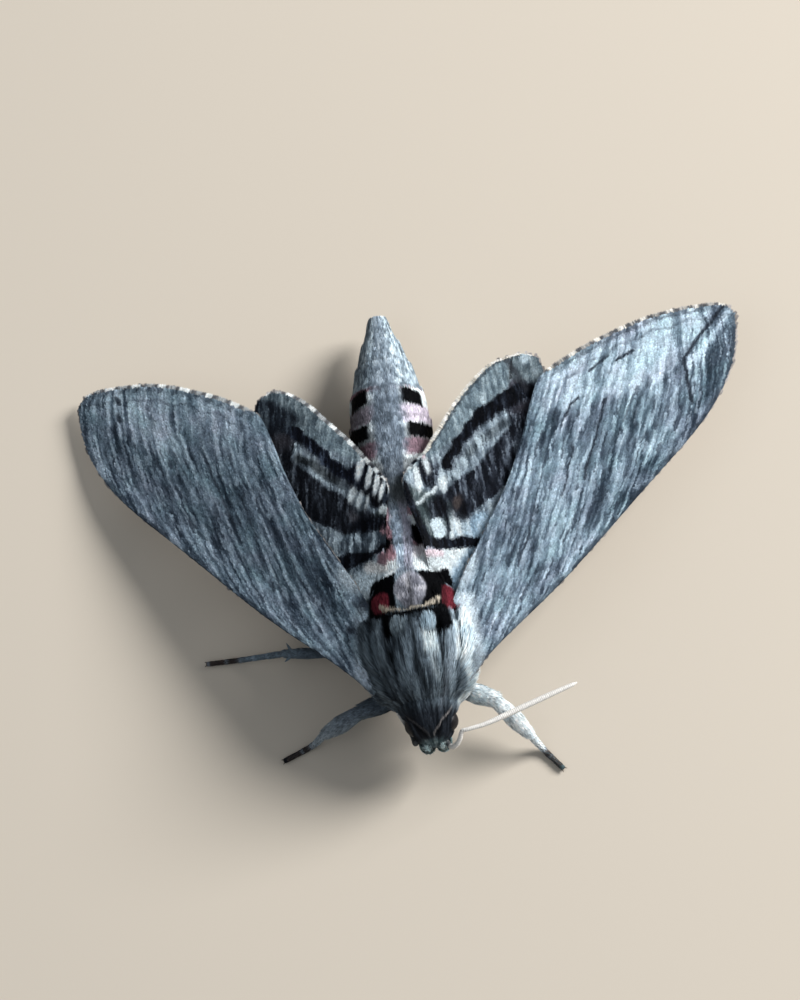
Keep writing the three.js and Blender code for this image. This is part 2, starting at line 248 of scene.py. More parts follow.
def stroke(x, y, points, half_width, soft):
    """How far a brushed line through the points covers each place, from 0 to 1."""
    nearest = np.full(np.shape(x), 1e9)
    for (x0, y0), (x1, y1) in zip(points[:-1], points[1:]):
        length = (x1 - x0) ** 2 + (y1 - y0) ** 2
        share = np.clip(((x - x0) * (x1 - x0) + (y - y0) * (y1 - y0)) / length, 0, 1)
        away = np.hypot(x - x0 - share * (x1 - x0), y - y0 - share * (y1 - y0))
        nearest = np.minimum(nearest, away)
    return 1 - ease(nearest, half_width - soft, half_width + soft)


def spot(x, y, centre, half, soft, turn=0.0):
    """How far an oval spot covers each place. The turn is in degrees from x to y."""
    c = math.cos(math.radians(turn))
    s = math.sin(math.radians(turn))
    along = (x - centre[0]) * c + (y - centre[1]) * s
    across = (y - centre[1]) * c - (x - centre[0]) * s
    away = np.hypot(along / half[0], across / half[1])
    return 1 - ease(away, 1 - soft, 1 + soft)


def colour(red, green, blue):
    """A colour as seen on a paint card, each part from 0 to 255."""
    return np.array([red, green, blue]) / 255.0


def over(under, top, cover):
    """Lays the colour top over the colours under, as far as it covers them."""
    cover = np.asarray(cover)[..., None]
    return under * (1 - cover) + top * cover


def marked(tint, marks):
    """Lays marks, each a colour and how far it covers, one over the other."""
    for top, cover in marks:
        tint = over(tint, top, cover)
    return tint


def drawn(tint, x, y, brush, marks):
    """Lays marks made with one brush, spot or stroke: each a colour, its strength and its shape."""
    for top, strength, *shape in marks:
        tint = over(tint, top, strength * brush(x, y, *shape))
    return tint


def ramp(value, stops):
    """Reads a row of (value, colour) stops."""
    places = [stop[0] for stop in stops]
    parts = [np.interp(value, places, [stop[1][part] for stop in stops]) for part in range(3)]
    return np.stack(parts, -1)


def to_light(seen):
    """Paint card colours as the light they give back."""
    seen = np.clip(seen, 0, 1)
    return np.where(seen <= 0.04045, seen / 12.92, ((seen + 0.055) / 1.055) ** 2.4)


SOOT = colour(2, 3, 6)
SLATE = colour(56, 66, 76)
STONE = colour(106, 121, 133)
ASH = colour(150, 168, 182)
FROST = colour(200, 219, 231)
SNOW = colour(232, 244, 250)
ROSE = colour(176, 138, 150)
CRIMSON = colour(94, 35, 45)
CREAM = colour(206, 196, 180)
BELLY = colour(170, 166, 160)


FLANK_EDGE = np.array([
    (-9.0, 7.0), (-7.0, 5.7), (-5.6, 4.8), (-4.8, 4.3), (-3.4, 3.9), (-2.2, 3.9), (0.0, 5.2), (2.0, 5.9),
])


def trunk_tint(along, angle):
    """The markings of the trunk. Angles are degrees from the top, positive on the moth's left."""
    side = angle / 10.0
    y = along + 0.4 * (mottle(along * 0.9, side * 1.4, 11) - 0.5)
    a = side + 0.4 * (mottle(along * 1.1, side * 0.9, 12) - 0.5)
    reach = np.abs(a)
    left = ease(a, -0.3, 0.3)
    _, width, _ = trunk_section(along)
    lateral = 0.6 * width * np.sin(np.radians(angle)) + 0.4 * side
    lock = mottle(lateral * 1.05, along * 0.3, 13)
    hair = grain(lateral * 4.2, along * 0.7, 14)
    strand = 0.68 * lock + 0.32 * hair
    dust = mottle(along * 1.6, side * 1.6, 15)

    # thorax and collar: mid grey with soft lengthwise strands, darker towards the head, and painted lighter
    # on the moth's left side, which faces the lamp
    shift = 0.06 * ease(a, 1.5, 3.4) + 0.12 * ease(a, 3.0, 4.2) - 0.2 * (1 - ease(y, -10.2, -7.0))
    tint = ramp(strand + shift, [
        (0.24, colour(44, 52, 59)), (0.42, colour(84, 96, 107)), (0.56, colour(118, 133, 145)),
        (0.8, colour(164, 182, 195)),
    ])
    tint = drawn(tint, y, a, stroke, [
        (ASH, 0.4, [(-7.5, -0.7), (-3.0, -1.1)], 0.2, 0.3),
        (colour(150, 168, 180), 0.55, [(-4.0, 2.6), (-10.4, 1.9)], 0.55, 0.5),
        (colour(146, 158, 170), 0.5, [(-5.0, 3.7), (-9.6, 2.9)], 0.5, 0.5),
    ])
    # the pale patch on the left of the thorax top is a painted highlight
    patch = band(y, -4.7, -2.6, 0.4) * band(a, 0.85, 2.35, 0.25)
    patch = np.maximum(patch, 0.6 * stroke(y, a, [(-4.4, 1.6), (-6.9, 1.9)], 0.3, 0.35))
    tint = over(tint, colour(212, 226, 232) * (0.84 + 0.22 * hair[..., None]), patch)
    ink = [(-8.8, 3.0), (-6.4, 2.75), (-4.4, 2.8), (-2.6, 3.1)]
    tint = over(tint, SOOT, 0.6 * stroke(y, reach, ink, 0.07, 0.12))
    inner = read_table(y, FLANK_EDGE)
    flank = ease(reach, inner - 0.2, inner + 0.35) * band(y, -9.5, 4.0, 0.8)
    flank_tint = ramp(strand, [(0.2, ASH), (0.4, FROST), (0.6, SNOW)])
    # the white flank is painted slate grey on the moth's right, as painted shade
    flank_painted_shade = ramp(strand, [(0.25, SLATE * 1.15), (0.5, STONE * 1.12), (0.8, ASH * 1.12)])
    fringe = flank_painted_shade * (1 - left[..., None]) + flank_tint * left[..., None]
    tint = over(tint, fringe, flank)

    # the two round tufts with their black rims, and the lines behind them
    rim_end = np.where(a > 0, 4.15, 3.1)
    rim = band(y, -2.8 + 0.35 * np.abs(reach - 2.8), -0.1, 0.2)
    rim = rim * (1 - ease(reach, rim_end - 0.3, rim_end + 0.2)) * ease(reach, 2.0, 2.3)
    tuft_reach = reach - np.where(a > 0, 1.6, 1.4)
    tuft_tint = ramp(strand, [(0.3, colour(118, 138, 152)), (0.5, colour(160, 182, 197)), (0.75, FROST)])
    # the right tuft is painted darker than the left one, as painted shade
    tint = marked(tint, [
        (SOOT, rim),
        (SOOT, 0.7 * spot(y, tuft_reach, (-1.25, 0.0), (1.35, 1.1), 0.2) * ease(reach, 0.5, 0.9)),
        (tuft_tint * (0.64 + 0.34 * left[..., None]), spot(y, tuft_reach, (-1.35, 0.0), (1.15, 0.88), 0.14)),
        (SOOT, stroke(y, reach, [(-0.12, 0.0), (-0.1, 2.4), (0.1, 3.8)], 0.2, 0.08)),
        (SOOT, band(y, 0.2, 4.7, 0.12) * band(reach, 1.5, 4.8, 0.2)),
    ])
    felt = ramp(0.6 * dust + 0.4 * strand, [
        (0.25, colour(94, 96, 106)), (0.5, colour(140, 142, 153)), (0.8, colour(204, 204, 212)),
    ])
    felt = felt * (1 - 0.3 * ridge(a, 0.3, 0.25) + 0.14 * ease(y, 2.8, 4.2))[..., None]
    cream_line = [(0.5, 0.0), (0.46, 1.3), (0.72, 2.3), (1.25, 3.2)]
    tint = marked(tint, [
        (felt, spot(y, a, (2.7, 0.35), (2.0, 1.9), 0.12)),
        (CRIMSON * (0.8 + 0.4 * hair[..., None]), spot(y, a, (1.35, 4.55), (1.4, 1.05), 0.12)),
        (CRIMSON * (0.9 + 0.5 * hair[..., None]), spot(y, a, (1.65, -3.3), (1.2, 1.15), 0.16)),
        (CREAM * 0.92, stroke(y, reach, cream_line, 0.24, 0.12)),
    ])

    # metathorax and abdomen: white, rose and black bands beside a mottled grey stripe
    rear = ease(y, 4.65, 4.85)
    phase = (np.clip(y, 7.6, 40) - 7.6) % 3.9
    back = y - 0.45 * ease(-a, 0, 1)
    blush = over(np.broadcast_to(ROSE, tint.shape), SNOW, 0.7 * left)
    # the pale pink band is painted darker on the moth's right, as painted shade
    pink = colour(206, 198, 214) * ((0.84 + 0.25 * dust) * (0.7 + 0.3 * left))[..., None]
    tail = ramp(dust, [(0.2, STONE), (0.42, ASH), (0.62, FROST), (0.85, SNOW)])
    sides = marked(np.broadcast_to(SNOW, tint.shape), [
        (ROSE, band(phase, -1.0, 1.2, 0.25)),
        (SOOT, band(phase, 1.15, 2.75, 0.15) * band(reach, 0, 6.2, 0.5) * (1 - 0.6 * ease(y, 15, 16))),
        (SNOW, band(y, 4.6, 7.4, 0.2)),
        (blush, band(y, 6.4, 7.7, 0.25) * band(reach, 1.2, 6.0, 0.3)),
        (SOOT, band(y, 7.7, 9.0, 0.15) * band(reach, 2.1, 5.6, 0.3)),
        (ROSE, spot(y, a, (10.3, -1.8), (1.1, 0.9), 0.2)),
        (colour(134, 112, 124), band(y, 18.7, 20.7, 0.25) * ease(reach, 1.4, 2.6)),
        (SOOT, band(back, 20.85, 22.6, 0.14) * band(reach, 2.9, 9.4, 0.4)),
        (pink, band(back, 22.7, 24.9, 0.2)),
        (SOOT, band(back + 0.15 * (reach - 4.5), 25.0, 26.9, 0.14) * band(reach, 2.7, 6.6, 0.4)),
        (tail * 0.94, ease(back, 27.0, 27.3)),
    ])
    edge = 1.5 + 1.0 * ease(y, 17.5, 20.5) - 0.5 * band(y, 4.7, 7.0, 0.6)
    edge = edge - 0.5 * ease(-a, 0, 1) * ease(y, 18, 21)
    stripe = ramp(dust, [
        (0.2, colour(84, 96, 108)), (0.5, colour(114, 127, 142)), (0.8, colour(152, 167, 182)),
    ])
    # the stripe is painted lighter from 5.5 to 12 mm against the wings' shadow on it, as painted light, and
    # darker and olive from 13 to 18 mm, as painted shade between the wings
    stripe = stripe * (1 + 0.34 * band(y, 5.5, 12.0, 1.5) - 0.2 * band(y, 13.0, 18.0, 0.8))[..., None]
    stripe = over(stripe, colour(62, 66, 64), 0.6 * spot(y, a, (14.2, 0.5), (1.5, 1.2), 0.5))
    rosy = 0.5 * band(y, 4.8, 13.0, 1.5) * ease(a + 0.8 * (lock - 0.5), -0.3, 0.5)
    stripe = over(stripe, colour(170, 158, 172) * (0.7 + 0.6 * hair[..., None]), rosy)
    tint = over(tint, sides, rear)
    soft = 0.3 + 0.5 * ease(y, 17, 20)
    cover = 1 - ease(reach + 0.9 * (dust - 0.5), edge - soft, edge + soft)
    tint = over(tint, stripe, rear * cover * (1 - 0.45 * ease(y, 25, 32)))
    tint = drawn(tint, y, a, spot, [
        (SLATE, 0.6, (25.6, 0.6), (0.5, 0.3), 0.4),
        (SLATE, 0.6, (30.0, -3.2), (1.1, 0.4), 0.4),
        (STONE, 0.8, (29.6, 4.3), (0.7, 0.35), 0.3, 20),
    ])
    # a line of painted shade in the fold at each joint of the abdomen's rings
    tint = over(tint, tint * 0.82, 0.7 * band((y - 7.8) % 3.9, -0.25, 0.25, 0.2) * ease(y, 8, 9))

    # head: almost black, with one pale line running back from the root of each feeler
    face = ramp(strand, [(0.25, colour(20, 23, 28)), (0.5, colour(38, 43, 51)), (0.8, colour(74, 82, 92))])
    pale_line = stroke(y, reach, [(-12.1, 0.8), (-10.9, 3.2), (-9.7, 5.6)], 0.16, 0.14)
    # the front of the face: grey-teal scales, painted lighter as a highlight
    teal_with_highlight = ramp(dust, [
        (0.3, colour(96, 120, 126)), (0.6, colour(156, 180, 186)), (0.85, colour(212, 226, 228)),
    ])
    face = marked(face, [
        (SOOT, 0.5 * stroke(y, reach, [(-12.0, 1.6), (-11.0, 3.4), (-9.8, 5.4)], 0.4, 0.3)),
        # the right pale line is painted fainter, as painted shade
        (colour(150, 146, 146), pale_line * (0.4 + 0.5 * left)),
        (teal_with_highlight, 0.8 * (1 - ease(y, -12.7, -12.2))),
    ])
    tint = over(tint, face, 1 - ease(y, -10.4, -9.0))

    # the right flank is painted darker, as painted shade, and the belly is plain
    painted_shade_right = ease(y, -10, -8) * ease(-a, 2.0, 5.0) * (1 - band(y, 4.6, 7.2, 0.4))
    tint = over(tint, tint * 0.74, painted_shade_right)
    under = ease(np.abs(side), 9.5, 12.5)
    tint = over(tint, BELLY * (0.82 + 0.3 * dust[..., None]), under * ease(y, -11, -8))
    return tint


def trunk_relief(along, angle):
    """How far the skin swells or sinks from the plain barrel: folds, flaps, tufts and rings."""
    side = np.abs(np.degrees(angle))
    ring = np.clip(np.searchsorted(ABDOMEN_ENDS, along, "right") - 1, 0, len(ABDOMEN_ENDS) - 2)
    share = np.clip((along - ABDOMEN_ENDS[ring]) / (ABDOMEN_ENDS[ring + 1] - ABDOMEN_ENDS[ring]), 0, 1)
    lip = share ** 1.6 * (1 - ease(share, 0.95, 1.0))
    rings = (0.26 * lip - 0.12) * ease(along, 7.6, 8.0) * (1 - 0.6 * ease(along, 30, 36))
    folds = -0.22 * ridge(along, COLLAR_START, 0.3)
    folds -= 0.2 * ridge(along, THORAX_START, 0.28) * (1 - ease(side, 50, 80))
    folds -= 0.3 * ridge(along, 0.1, 0.22) * (1 - ease(side, 38, 50))
    folds -= 0.25 * ridge(along, 7.6, 0.3)
    flap = band(along, -6.0, 2.2, 0.5) * band(side, 29, 58, 3)
    groove = -0.3 * ridge(side, 26, 2.2) * band(along, -7, -1.5, 0.7)
    keel = 0.3 * ridge(side, 0, 9.0) * band(along, -8.0, -1.5, 1.0)
    tuft = 0.55 * spot(along, side / 10, (TUFT_PLACE[0], TUFT_PLACE[1] / 10), (1.25, 1.05), 0.6)
    boss = 0.35 * spot(along, side / 10, (2.7, 0.0), (2.2, 1.7), 0.5)
    brow = 0.28 * spot(along, side / 10, (-10.6, 3.2), (1.5, 1.3), 0.6)
    return rings + folds + 0.42 * flap + groove + keel + tuft + boss + brow


def skin_point(along, angle, lift=0.0):
    """A point of the skin, which lies under the coat by the coat's depth."""
    points = trunk_point(along, angle, lift - read_table(along, COAT_DEPTH) + trunk_relief(along, angle))
    axis, _, _ = trunk_section(along)
    spine = np.stack([np.zeros(np.shape(axis)), along, axis], -1)
    nose = np.sqrt(1 - np.clip((NOSE_START - along) / NOSE_LENGTH, 0, 1) ** 2)
    return spine + (points - spine) * nose[..., None]


def closed_grid(rows, sides):
    """Faces of a tube made of rings of points, with a point at each end."""
    start = 1 + np.arange(rows - 1)[:, None] * sides
    here = np.arange(sides)[None, :]
    there = (here + 1) % sides
    quads = np.stack([start + here, start + there, start + sides + there, start + sides + here], -1)
    last = 1 + (rows - 1) * sides
    turn = np.arange(sides)
    first_fan = np.stack([np.zeros(sides, int), 1 + (turn + 1) % sides, 1 + turn], -1)
    last_fan = np.stack([np.full(sides, last + sides), last + turn, last + (turn + 1) % sides], -1)
    return quads.reshape(-1, 4), np.concatenate([first_fan, last_fan])


def new_piece(name, points, quads, tris):
    """A mesh object from points in the moth's own millimetres."""
    mesh = bpy.data.meshes.new(name)
    quads = np.asarray(quads, np.int32).reshape(-1, 4)
    tris = np.asarray(tris, np.int32).reshape(-1, 3)
    corners = np.concatenate([quads.ravel(), tris.ravel()])
    totals = np.concatenate([np.full(len(quads), 4), np.full(len(tris), 3)])
    mesh.vertices.add(len(points))
    mesh.vertices.foreach_set("co", in_metres(points).astype(np.float32).ravel())
    mesh.loops.add(len(corners))
    mesh.loops.foreach_set("vertex_index", corners.astype(np.int32))
    mesh.polygons.add(len(totals))
    mesh.polygons.foreach_set("loop_start", (np.cumsum(totals) - totals).astype(np.int32))
    mesh.polygons.foreach_set("loop_total", totals.astype(np.int32))
    mesh.update(calc_edges=True)
    mesh.validate()
    mesh.polygons.foreach_set("use_smooth", np.full(len(mesh.polygons), True))
    piece = bpy.data.objects.new(name, mesh)
    bpy.context.scene.collection.objects.link(piece)
    return piece


def paint(piece, seen):
    """Keeps a colour at every point of a piece, for its material to read."""
    layer = piece.data.color_attributes.new("tint", "FLOAT_COLOR", "POINT")
    light = np.ones((len(seen), 4), np.float32)
    light[:, :3] = to_light(seen)
    layer.data.foreach_set("color", light.ravel())


def unfold(piece, places):
    """Gives a piece its flat map, with a place for each of its points."""
    layer = piece.data.uv_layers.new(name="OFBake")
    index = np.empty(len(piece.data.loops), np.int32)
    piece.data.loops.foreach_get("vertex_index", index)
    layer.data.foreach_set("uv", np.asarray(places, np.float32)[index].ravel())


def unit(vectors):
    return vectors / np.maximum(np.linalg.norm(vectors, axis=-1, keepdims=True), 1e-9)


def level_and_top(forward):
    """The level way across each forward way, and the way up from both."""
    level = unit(np.cross(forward, (0.0, 0.0, 1.0)))
    return level, np.cross(level, forward)


def tube(path, radii, sides):
    """A closed tube along the points of a path, with one radius for each point."""
    forward = unit(np.gradient(path, axis=0))
    side, top = level_and_top(forward)
    turn = np.arange(sides) * 2 * np.pi / sides
    radii = radii[:, None, None]
    ring = side[:, None] * np.cos(turn)[None, :, None] + top[:, None] * np.sin(turn)[None, :, None]
    points = path[:, None] + ring * radii
    quads, tris = closed_grid(len(path), sides)
    start = path[:1] - forward[:1] * radii[0] * 0.3
    end = path[-1:] + forward[-1:] * radii[-1] * 0.3
    return np.concatenate([start, points.reshape(-1, 3), end]), quads[:, ::-1], tris[:, ::-1]


def cap_rings(ring, depth):
    """Ever smaller rings that close an end of the skin, and the point they close on."""
    middle = ring.mean(0)
    rings = [
        middle + (ring - middle) * share + (0, depth * math.sqrt(1 - share * share), 0)
        for share in (0.3, 0.55, 0.75, 0.9, 0.97)
    ]
    return np.array(rings), middle + (0, depth, 0)


def make_trunk_skin():
    face = np.arange(SKIN_START, FACE_END, FACE_STEP)
    rows = np.concatenate([face, np.arange(FACE_END, SKIN_END, TRUNK_STEP)])
    angle = np.arange(SKIN_SIDES) * 2 * np.pi / SKIN_SIDES
    points = skin_point(*np.meshgrid(rows, angle, indexing="ij"))
    front, nose = cap_rings(points[0], NOSE_CAP)
    tail, end = cap_rings(points[-1], TAIL_CAP)
    grid = np.concatenate([front, points, tail[::-1]])
    quads, tris = closed_grid(len(grid), SKIN_SIDES)
    return new_piece("skin", np.concatenate([[nose], grid.reshape(-1, 3), [end]]), quads, tris)


def tilted(points, tilt):
    """Points turned about the line from side to side."""
    x, y, z = points.T
    c = math.cos(tilt)
    s = math.sin(tilt)
    return np.stack([x, y * c - z * s, y * s + z * c], -1)


def make_ball(name, centre, half, tilt, fineness):
    ball = bmesh.new()
    bmesh.ops.create_icosphere(ball, subdivisions=fineness, radius=1.0)
    points = np.array([v.co for v in ball.verts]) * half
    tris = np.array([[v.index for v in f.verts] for f in ball.faces])
    ball.free()
    return new_piece(name, tilted(points, tilt) + centre, [], tris)


SIGN = {"left": 1, "right": -1}
skin = make_trunk_skin()
head_parts = []
for sign in SIGN.values():
    palp = make_ball("palp", PALP_CENTRE * (sign, 1, 1), PALP_HALF - 0.12, PALP_TILT, 5)
    socket = make_ball("socket", EYE_CENTRE * (sign, 1, 1), np.full(3, EYE_RADIUS + 0.04), 0.0, 6)
    head_parts += [(palp, "UNION"), (socket, "DIFFERENCE")]


# ---------- legs ----------
# Six legs of hip joint, thigh, shin and a foot of five short rings, all clad in flat scales.
# They grow from under the thorax; the joints are its hip, knee, ankle, heel and toe.

LEGS = {
    "foreleg": {
        "left": [(2.6, -6.4, 5.2), (7.0, -8.7, 5.6), (10.0, -12.4, 2.9), (11.9, -14.8), (13.2, -16.5)],
        "right": [(2.6, -6.6, 5.2), (7.4, -7.6, 5.4), (12.0, -8.9, 2.9), (15.2, -9.9), (17.5, -10.7)],
    },
    "midleg": {
        "left": [(3.0, -2.6, 4.8), (9.0, -0.2, 6.4), (12.9, 3.2, 2.6), (17.0, 7.6), (18.4, 9.4)],
        "right": [(3.0, -2.6, 4.8), (9.4, -0.9, 6.0), (15.4, 0.9, 2.4), (22.4, 1.6), (24.8, 1.7)],
    },
    "hindleg": {
        "left": [(3.0, 2.6, 5.0), (8.0, 6.6, 6.2), (10.6, 13.4, 2.6), (12.4, 20.0), (13.0, 22.6)],
        "right": [(3.0, 2.6, 5.0), (7.8, 6.8, 6.0), (10.0, 13.8, 2.4), (11.2, 20.4), (11.6, 23.0)],
    },
}
LEG_RADII = {
    "foreleg": [(0.85, 1.15, 0.9), (0.8, 1.05, 0.65), (0.5, 0.42, 0.34)],
    "midleg": [(0.7, 0.85, 0.6), (0.5, 0.65, 0.5), (0.42, 0.36, 0.32)],
    "hindleg": [(0.7, 0.85, 0.6), (0.5, 0.65, 0.5), (0.42, 0.36, 0.32)],
}
SPURS = {"foreleg": [], "midleg": [0.84], "hindleg": [0.5, 0.84]}
SPUR_LENGTH = 1.7
SPUR_RADIUS = 0.24
LEG_COAT = 0.16
FOOT_RINGS = 5
CLAW_ROOM = 0.3
LEG_SIDES = 26
SPUR_SIDES = 12
THIGH_STEPS = 44
FOOT_STEPS = 60
TOE_STEPS = 14
# the skin is painted darker than the coat, as painted shade between the hairs
SKIN_PAINTED_SHADE = 0.72
# the right legs are painted darker than the left ones, as painted shade
LEG_TINTS = {
    ("foreleg", "left"): (FROST, SNOW, SNOW),
    ("foreleg", "right"): (SLATE, colour(104, 116, 128), colour(140, 150, 158)),
    ("midleg", "left"): (STONE, ASH, FROST),
    ("midleg", "right"): (colour(52, 56, 64), SLATE, STONE),
    ("hindleg", "left"): (STONE, ASH, ASH),
    ("hindleg", "right"): (SLATE, STONE, ASH),
}
FOOT_DARK = colour(58, 50, 48)
PALP_SKIN = colour(140, 154, 160)
POINTS_AT_ONCE = 20000


def leg_line(kind, side):
    """Points down the middle of a leg, their radii, and shares from 0 at the hip to 3 at the toe."""
    sign = SIGN[side]
    radii = LEG_RADII[kind]
    foot = radii[2][2]
    joints = [np.array([sign * j[0], j[1], j[2] if len(j) > 2 else foot - 0.02]) for j in LEGS[kind][side]]
    hip, knee, ankle, heel, toe = joints
    half_leg = np.linspace(0, 1, THIGH_STEPS)[:, None]
    thigh = hip + (knee - hip) * half_leg
    shin = knee + (ankle - knee) * half_leg
    instep = ankle + (heel - ankle) * 0.4
    landing = heel + (heel - toe)
    t = np.linspace(0, 1, FOOT_STEPS)[:, None]
    foot_curve = (
        (1 - t) ** 3 * ankle + 3 * (1 - t) ** 2 * t * instep
        + 3 * (1 - t) * t * t * landing + t ** 3 * heel
    )
    reach = np.linalg.norm(toe - heel)
    end = heel + (toe - heel) * (1 - CLAW_ROOM / reach)
    toe_line = heel + (end - heel) * np.linspace(0, 1, TOE_STEPS)[1:, None]
    foot_line = np.concatenate([foot_curve, toe_line])
    path = np.concatenate([thigh, shin[1:], foot_line[1:]])
    share = np.concatenate([
        np.linspace(0, 1, len(thigh)),
        1 + np.linspace(0, 1, len(shin))[1:],
        2 + np.linspace(0, 1, len(foot_line))[1:],
    ])
    part = np.minimum(share.astype(int), 2)
    local = share - part
    bow = np.stack([np.interp(local, [0, 0.5, 1], row) for row in radii])
    grown = bow[part, np.arange(len(share))]
    pinch = 0.16 * ridge(share, 1, 0.03) + 0.14 * ridge(share, 2, 0.03)
    ring = (local * FOOT_RINGS) % 1.0
    flare = np.where(part == 2, 0.045 * (ring - 0.5) * band(local, 0.08, 1.1, 0.05), 0)
    coat = np.interp(share, [0, 1.9, 2.1, 3], [LEG_COAT, LEG_COAT, 0.09, 0.07])
    for _ in range(2):
        path[1:-1] = (path[:-2] + 2 * path[1:-1] + path[2:]) / 4
    return path, grown * (1 - pinch) - coat + flare, share


def spur_lines(kind, side):
    """Start and end of each spur on a shin: a pair at each place, splayed outwards."""
    knee, ankle = np.array(LEGS[kind][side][1:3]) * (SIGN[side], 1, 1)
    forward = unit(ankle - knee)
    across, _ = level_and_top(forward)
    found = []
    for place in SPURS[kind]:
        for turn in (-1, 1):
            start = knee + (ankle - knee) * place
            length = SPUR_LENGTH * (1.0 if turn > 0 else 0.8)
            found.append((start, start + (forward + turn * across) * length * 0.7))
    return found


leg_lines = {}
leg_parts = []
for kind in LEGS:
    for side in SIGN:
        path, radii, shares = leg_line(kind, side)
        leg_lines[kind, side] = path, radii, shares
        leg_parts.append((new_piece("leg", *tube(path, radii, LEG_SIDES)), "UNION"))
        for start, end in spur_lines(kind, side):
            share = np.linspace(0, 1, TOE_STEPS)
            bow = np.sin(share * np.pi)[:, None] * (0, 0, -0.12)
            line = start + (end - start) * share[:, None] + bow
            slim = SPUR_RADIUS * (1 - share ** 1.8 * 0.86)
            leg_parts.append((new_piece("spur", *tube(line, slim, SPUR_SIDES)), "UNION"))


def leg_tint(kind, side, share, angle):
    """Scale colours down a leg: three shades from hip to foot, dark rings at the toes, and painted shade on
    its underside.
    """
    shades = LEG_TINTS[kind, side]
    tint = ramp(share, [(0.0, shades[0]), (1.0, shades[1]), (1.9, shades[2]), (2.25, shades[2])])
    streak = mottle(share * 7.0, angle * 2.2, 31)
    tint = tint * (0.78 + 0.42 * streak[..., None])
    ring = ((share - 2) * FOOT_RINGS) % 1.0
    toe = ease(share, 2.45, 2.75)
    tint = over(tint, FOOT_DARK * (0.8 + 0.5 * streak[..., None]), 0.92 * toe)
    tint = over(tint, ASH, 0.55 * band(ring, 0.82, 1.2, 0.08) * ease(share, 2.1, 2.2))
    # painted shade on the underside of the leg
    return over(tint, tint * 0.7, 0.6 * ease(-np.sin(angle), 0.1, 0.9))


def joined(base, parts):
    """Joins or cuts a mesh by others, so that one closed surface is left."""
    for part, way in parts:
        step = base.modifiers.new("join", "BOOLEAN")
        step.solver = "MANIFOLD"
        step.operation = way
        step.object = part
    graph = bpy.context.evaluated_depsgraph_get()
    result = bpy.data.meshes.new_from_object(base.evaluated_get(graph))
    base.modifiers.clear()
    base.data = result
    for part, _ in parts:
        bpy.data.objects.remove(part)


joined(skin, head_parts + leg_parts)


def own_points(piece):
    """A piece's points back in the moth's own millimetres."""
    found = np.empty(len(piece.data.vertices) * 3, np.float32)
    piece.data.vertices.foreach_get("co", found)
    return (found.reshape(-1, 3) - moth_origin) / MM


def nearest_leg(points):
    """For each point the number of the nearest leg, and its share down that leg."""
    best = np.full(len(points), 1e9)
    which = np.zeros(len(points), int)
    share = np.zeros(len(points))
    for number, (path, _, shares) in enumerate(leg_lines.values()):
        for start in range(0, len(points), POINTS_AT_ONCE):
            block = slice(start, start + POINTS_AT_ONCE)
            away = np.linalg.norm(points[block, None] - path[None], axis=-1)
            near = away.argmin(1)
            gap = away[np.arange(len(near)), near]
            closer = gap < best[block]
            best[block] = np.where(closer, gap, best[block])
            which[block] = np.where(closer, number, which[block])
            share[block] = np.where(closer, shares[near], share[block])
    return which, share


def trunk_polar(points):
    """Distance along the trunk, angle from its top in degrees, and reach, which is 1 at its outside."""
    axis, width, height = trunk_section(points[:, 1])
    across = points[:, 0] / width
    up = (points[:, 2] - axis) / height
    return points[:, 1], np.degrees(np.arctan2(across, up)), np.hypot(across, up)


def skin_tint(points):
    """Colours of the skin, painted darker than the coat over it as shade between the hairs."""
    along, angle, reach = trunk_polar(points)
    tint = trunk_tint(along, angle) * SKIN_PAINTED_SHADE
    off = np.flatnonzero((reach > 1.03) & (along > -9.5))
    which, share = nearest_leg(points[off])
    for number, (kind, side) in enumerate(leg_lines):
        mine = which == number
        tint[off[mine]] = leg_tint(kind, side, share[mine], np.zeros(mine.sum()))
    tint[(along < -12.0) & (np.abs(points[:, 0]) < 3.0) & (reach > 1.03)] = PALP_SKIN
    return tint


def new_material(name):
    """A material, with its node tree and its shader."""
    material = bpy.data.materials.new(name)
    material.use_nodes = True
    return material, material.node_tree, material.node_tree.nodes["Principled BSDF"]


def add_cloud(tree, size, detail=2.0):
    """Soft noise through a piece's own space, in blotches of a size in millimetres."""
    place = tree.nodes.new("ShaderNodeTexCoord")
    cloud = tree.nodes.new("ShaderNodeTexNoise")
    cloud.inputs["Scale"].default_value = 1.0 / (size * MM)
    cloud.inputs["Detail"].default_value = detail
    tree.links.new(place.outputs["Object"], cloud.inputs["Vector"])
    return cloud.outputs["Fac"]


def add_range(tree, value, low, high, start=0.0, end=1.0):
    """Turns a value from start to end into one from low to high."""
    level = tree.nodes.new("ShaderNodeMapRange")
    for socket, amount in (("From Min", start), ("From Max", end), ("To Min", low), ("To Max", high)):
        level.inputs[socket].default_value = amount
    tree.links.new(value, level.inputs["Value"])
    return level.outputs["Result"]


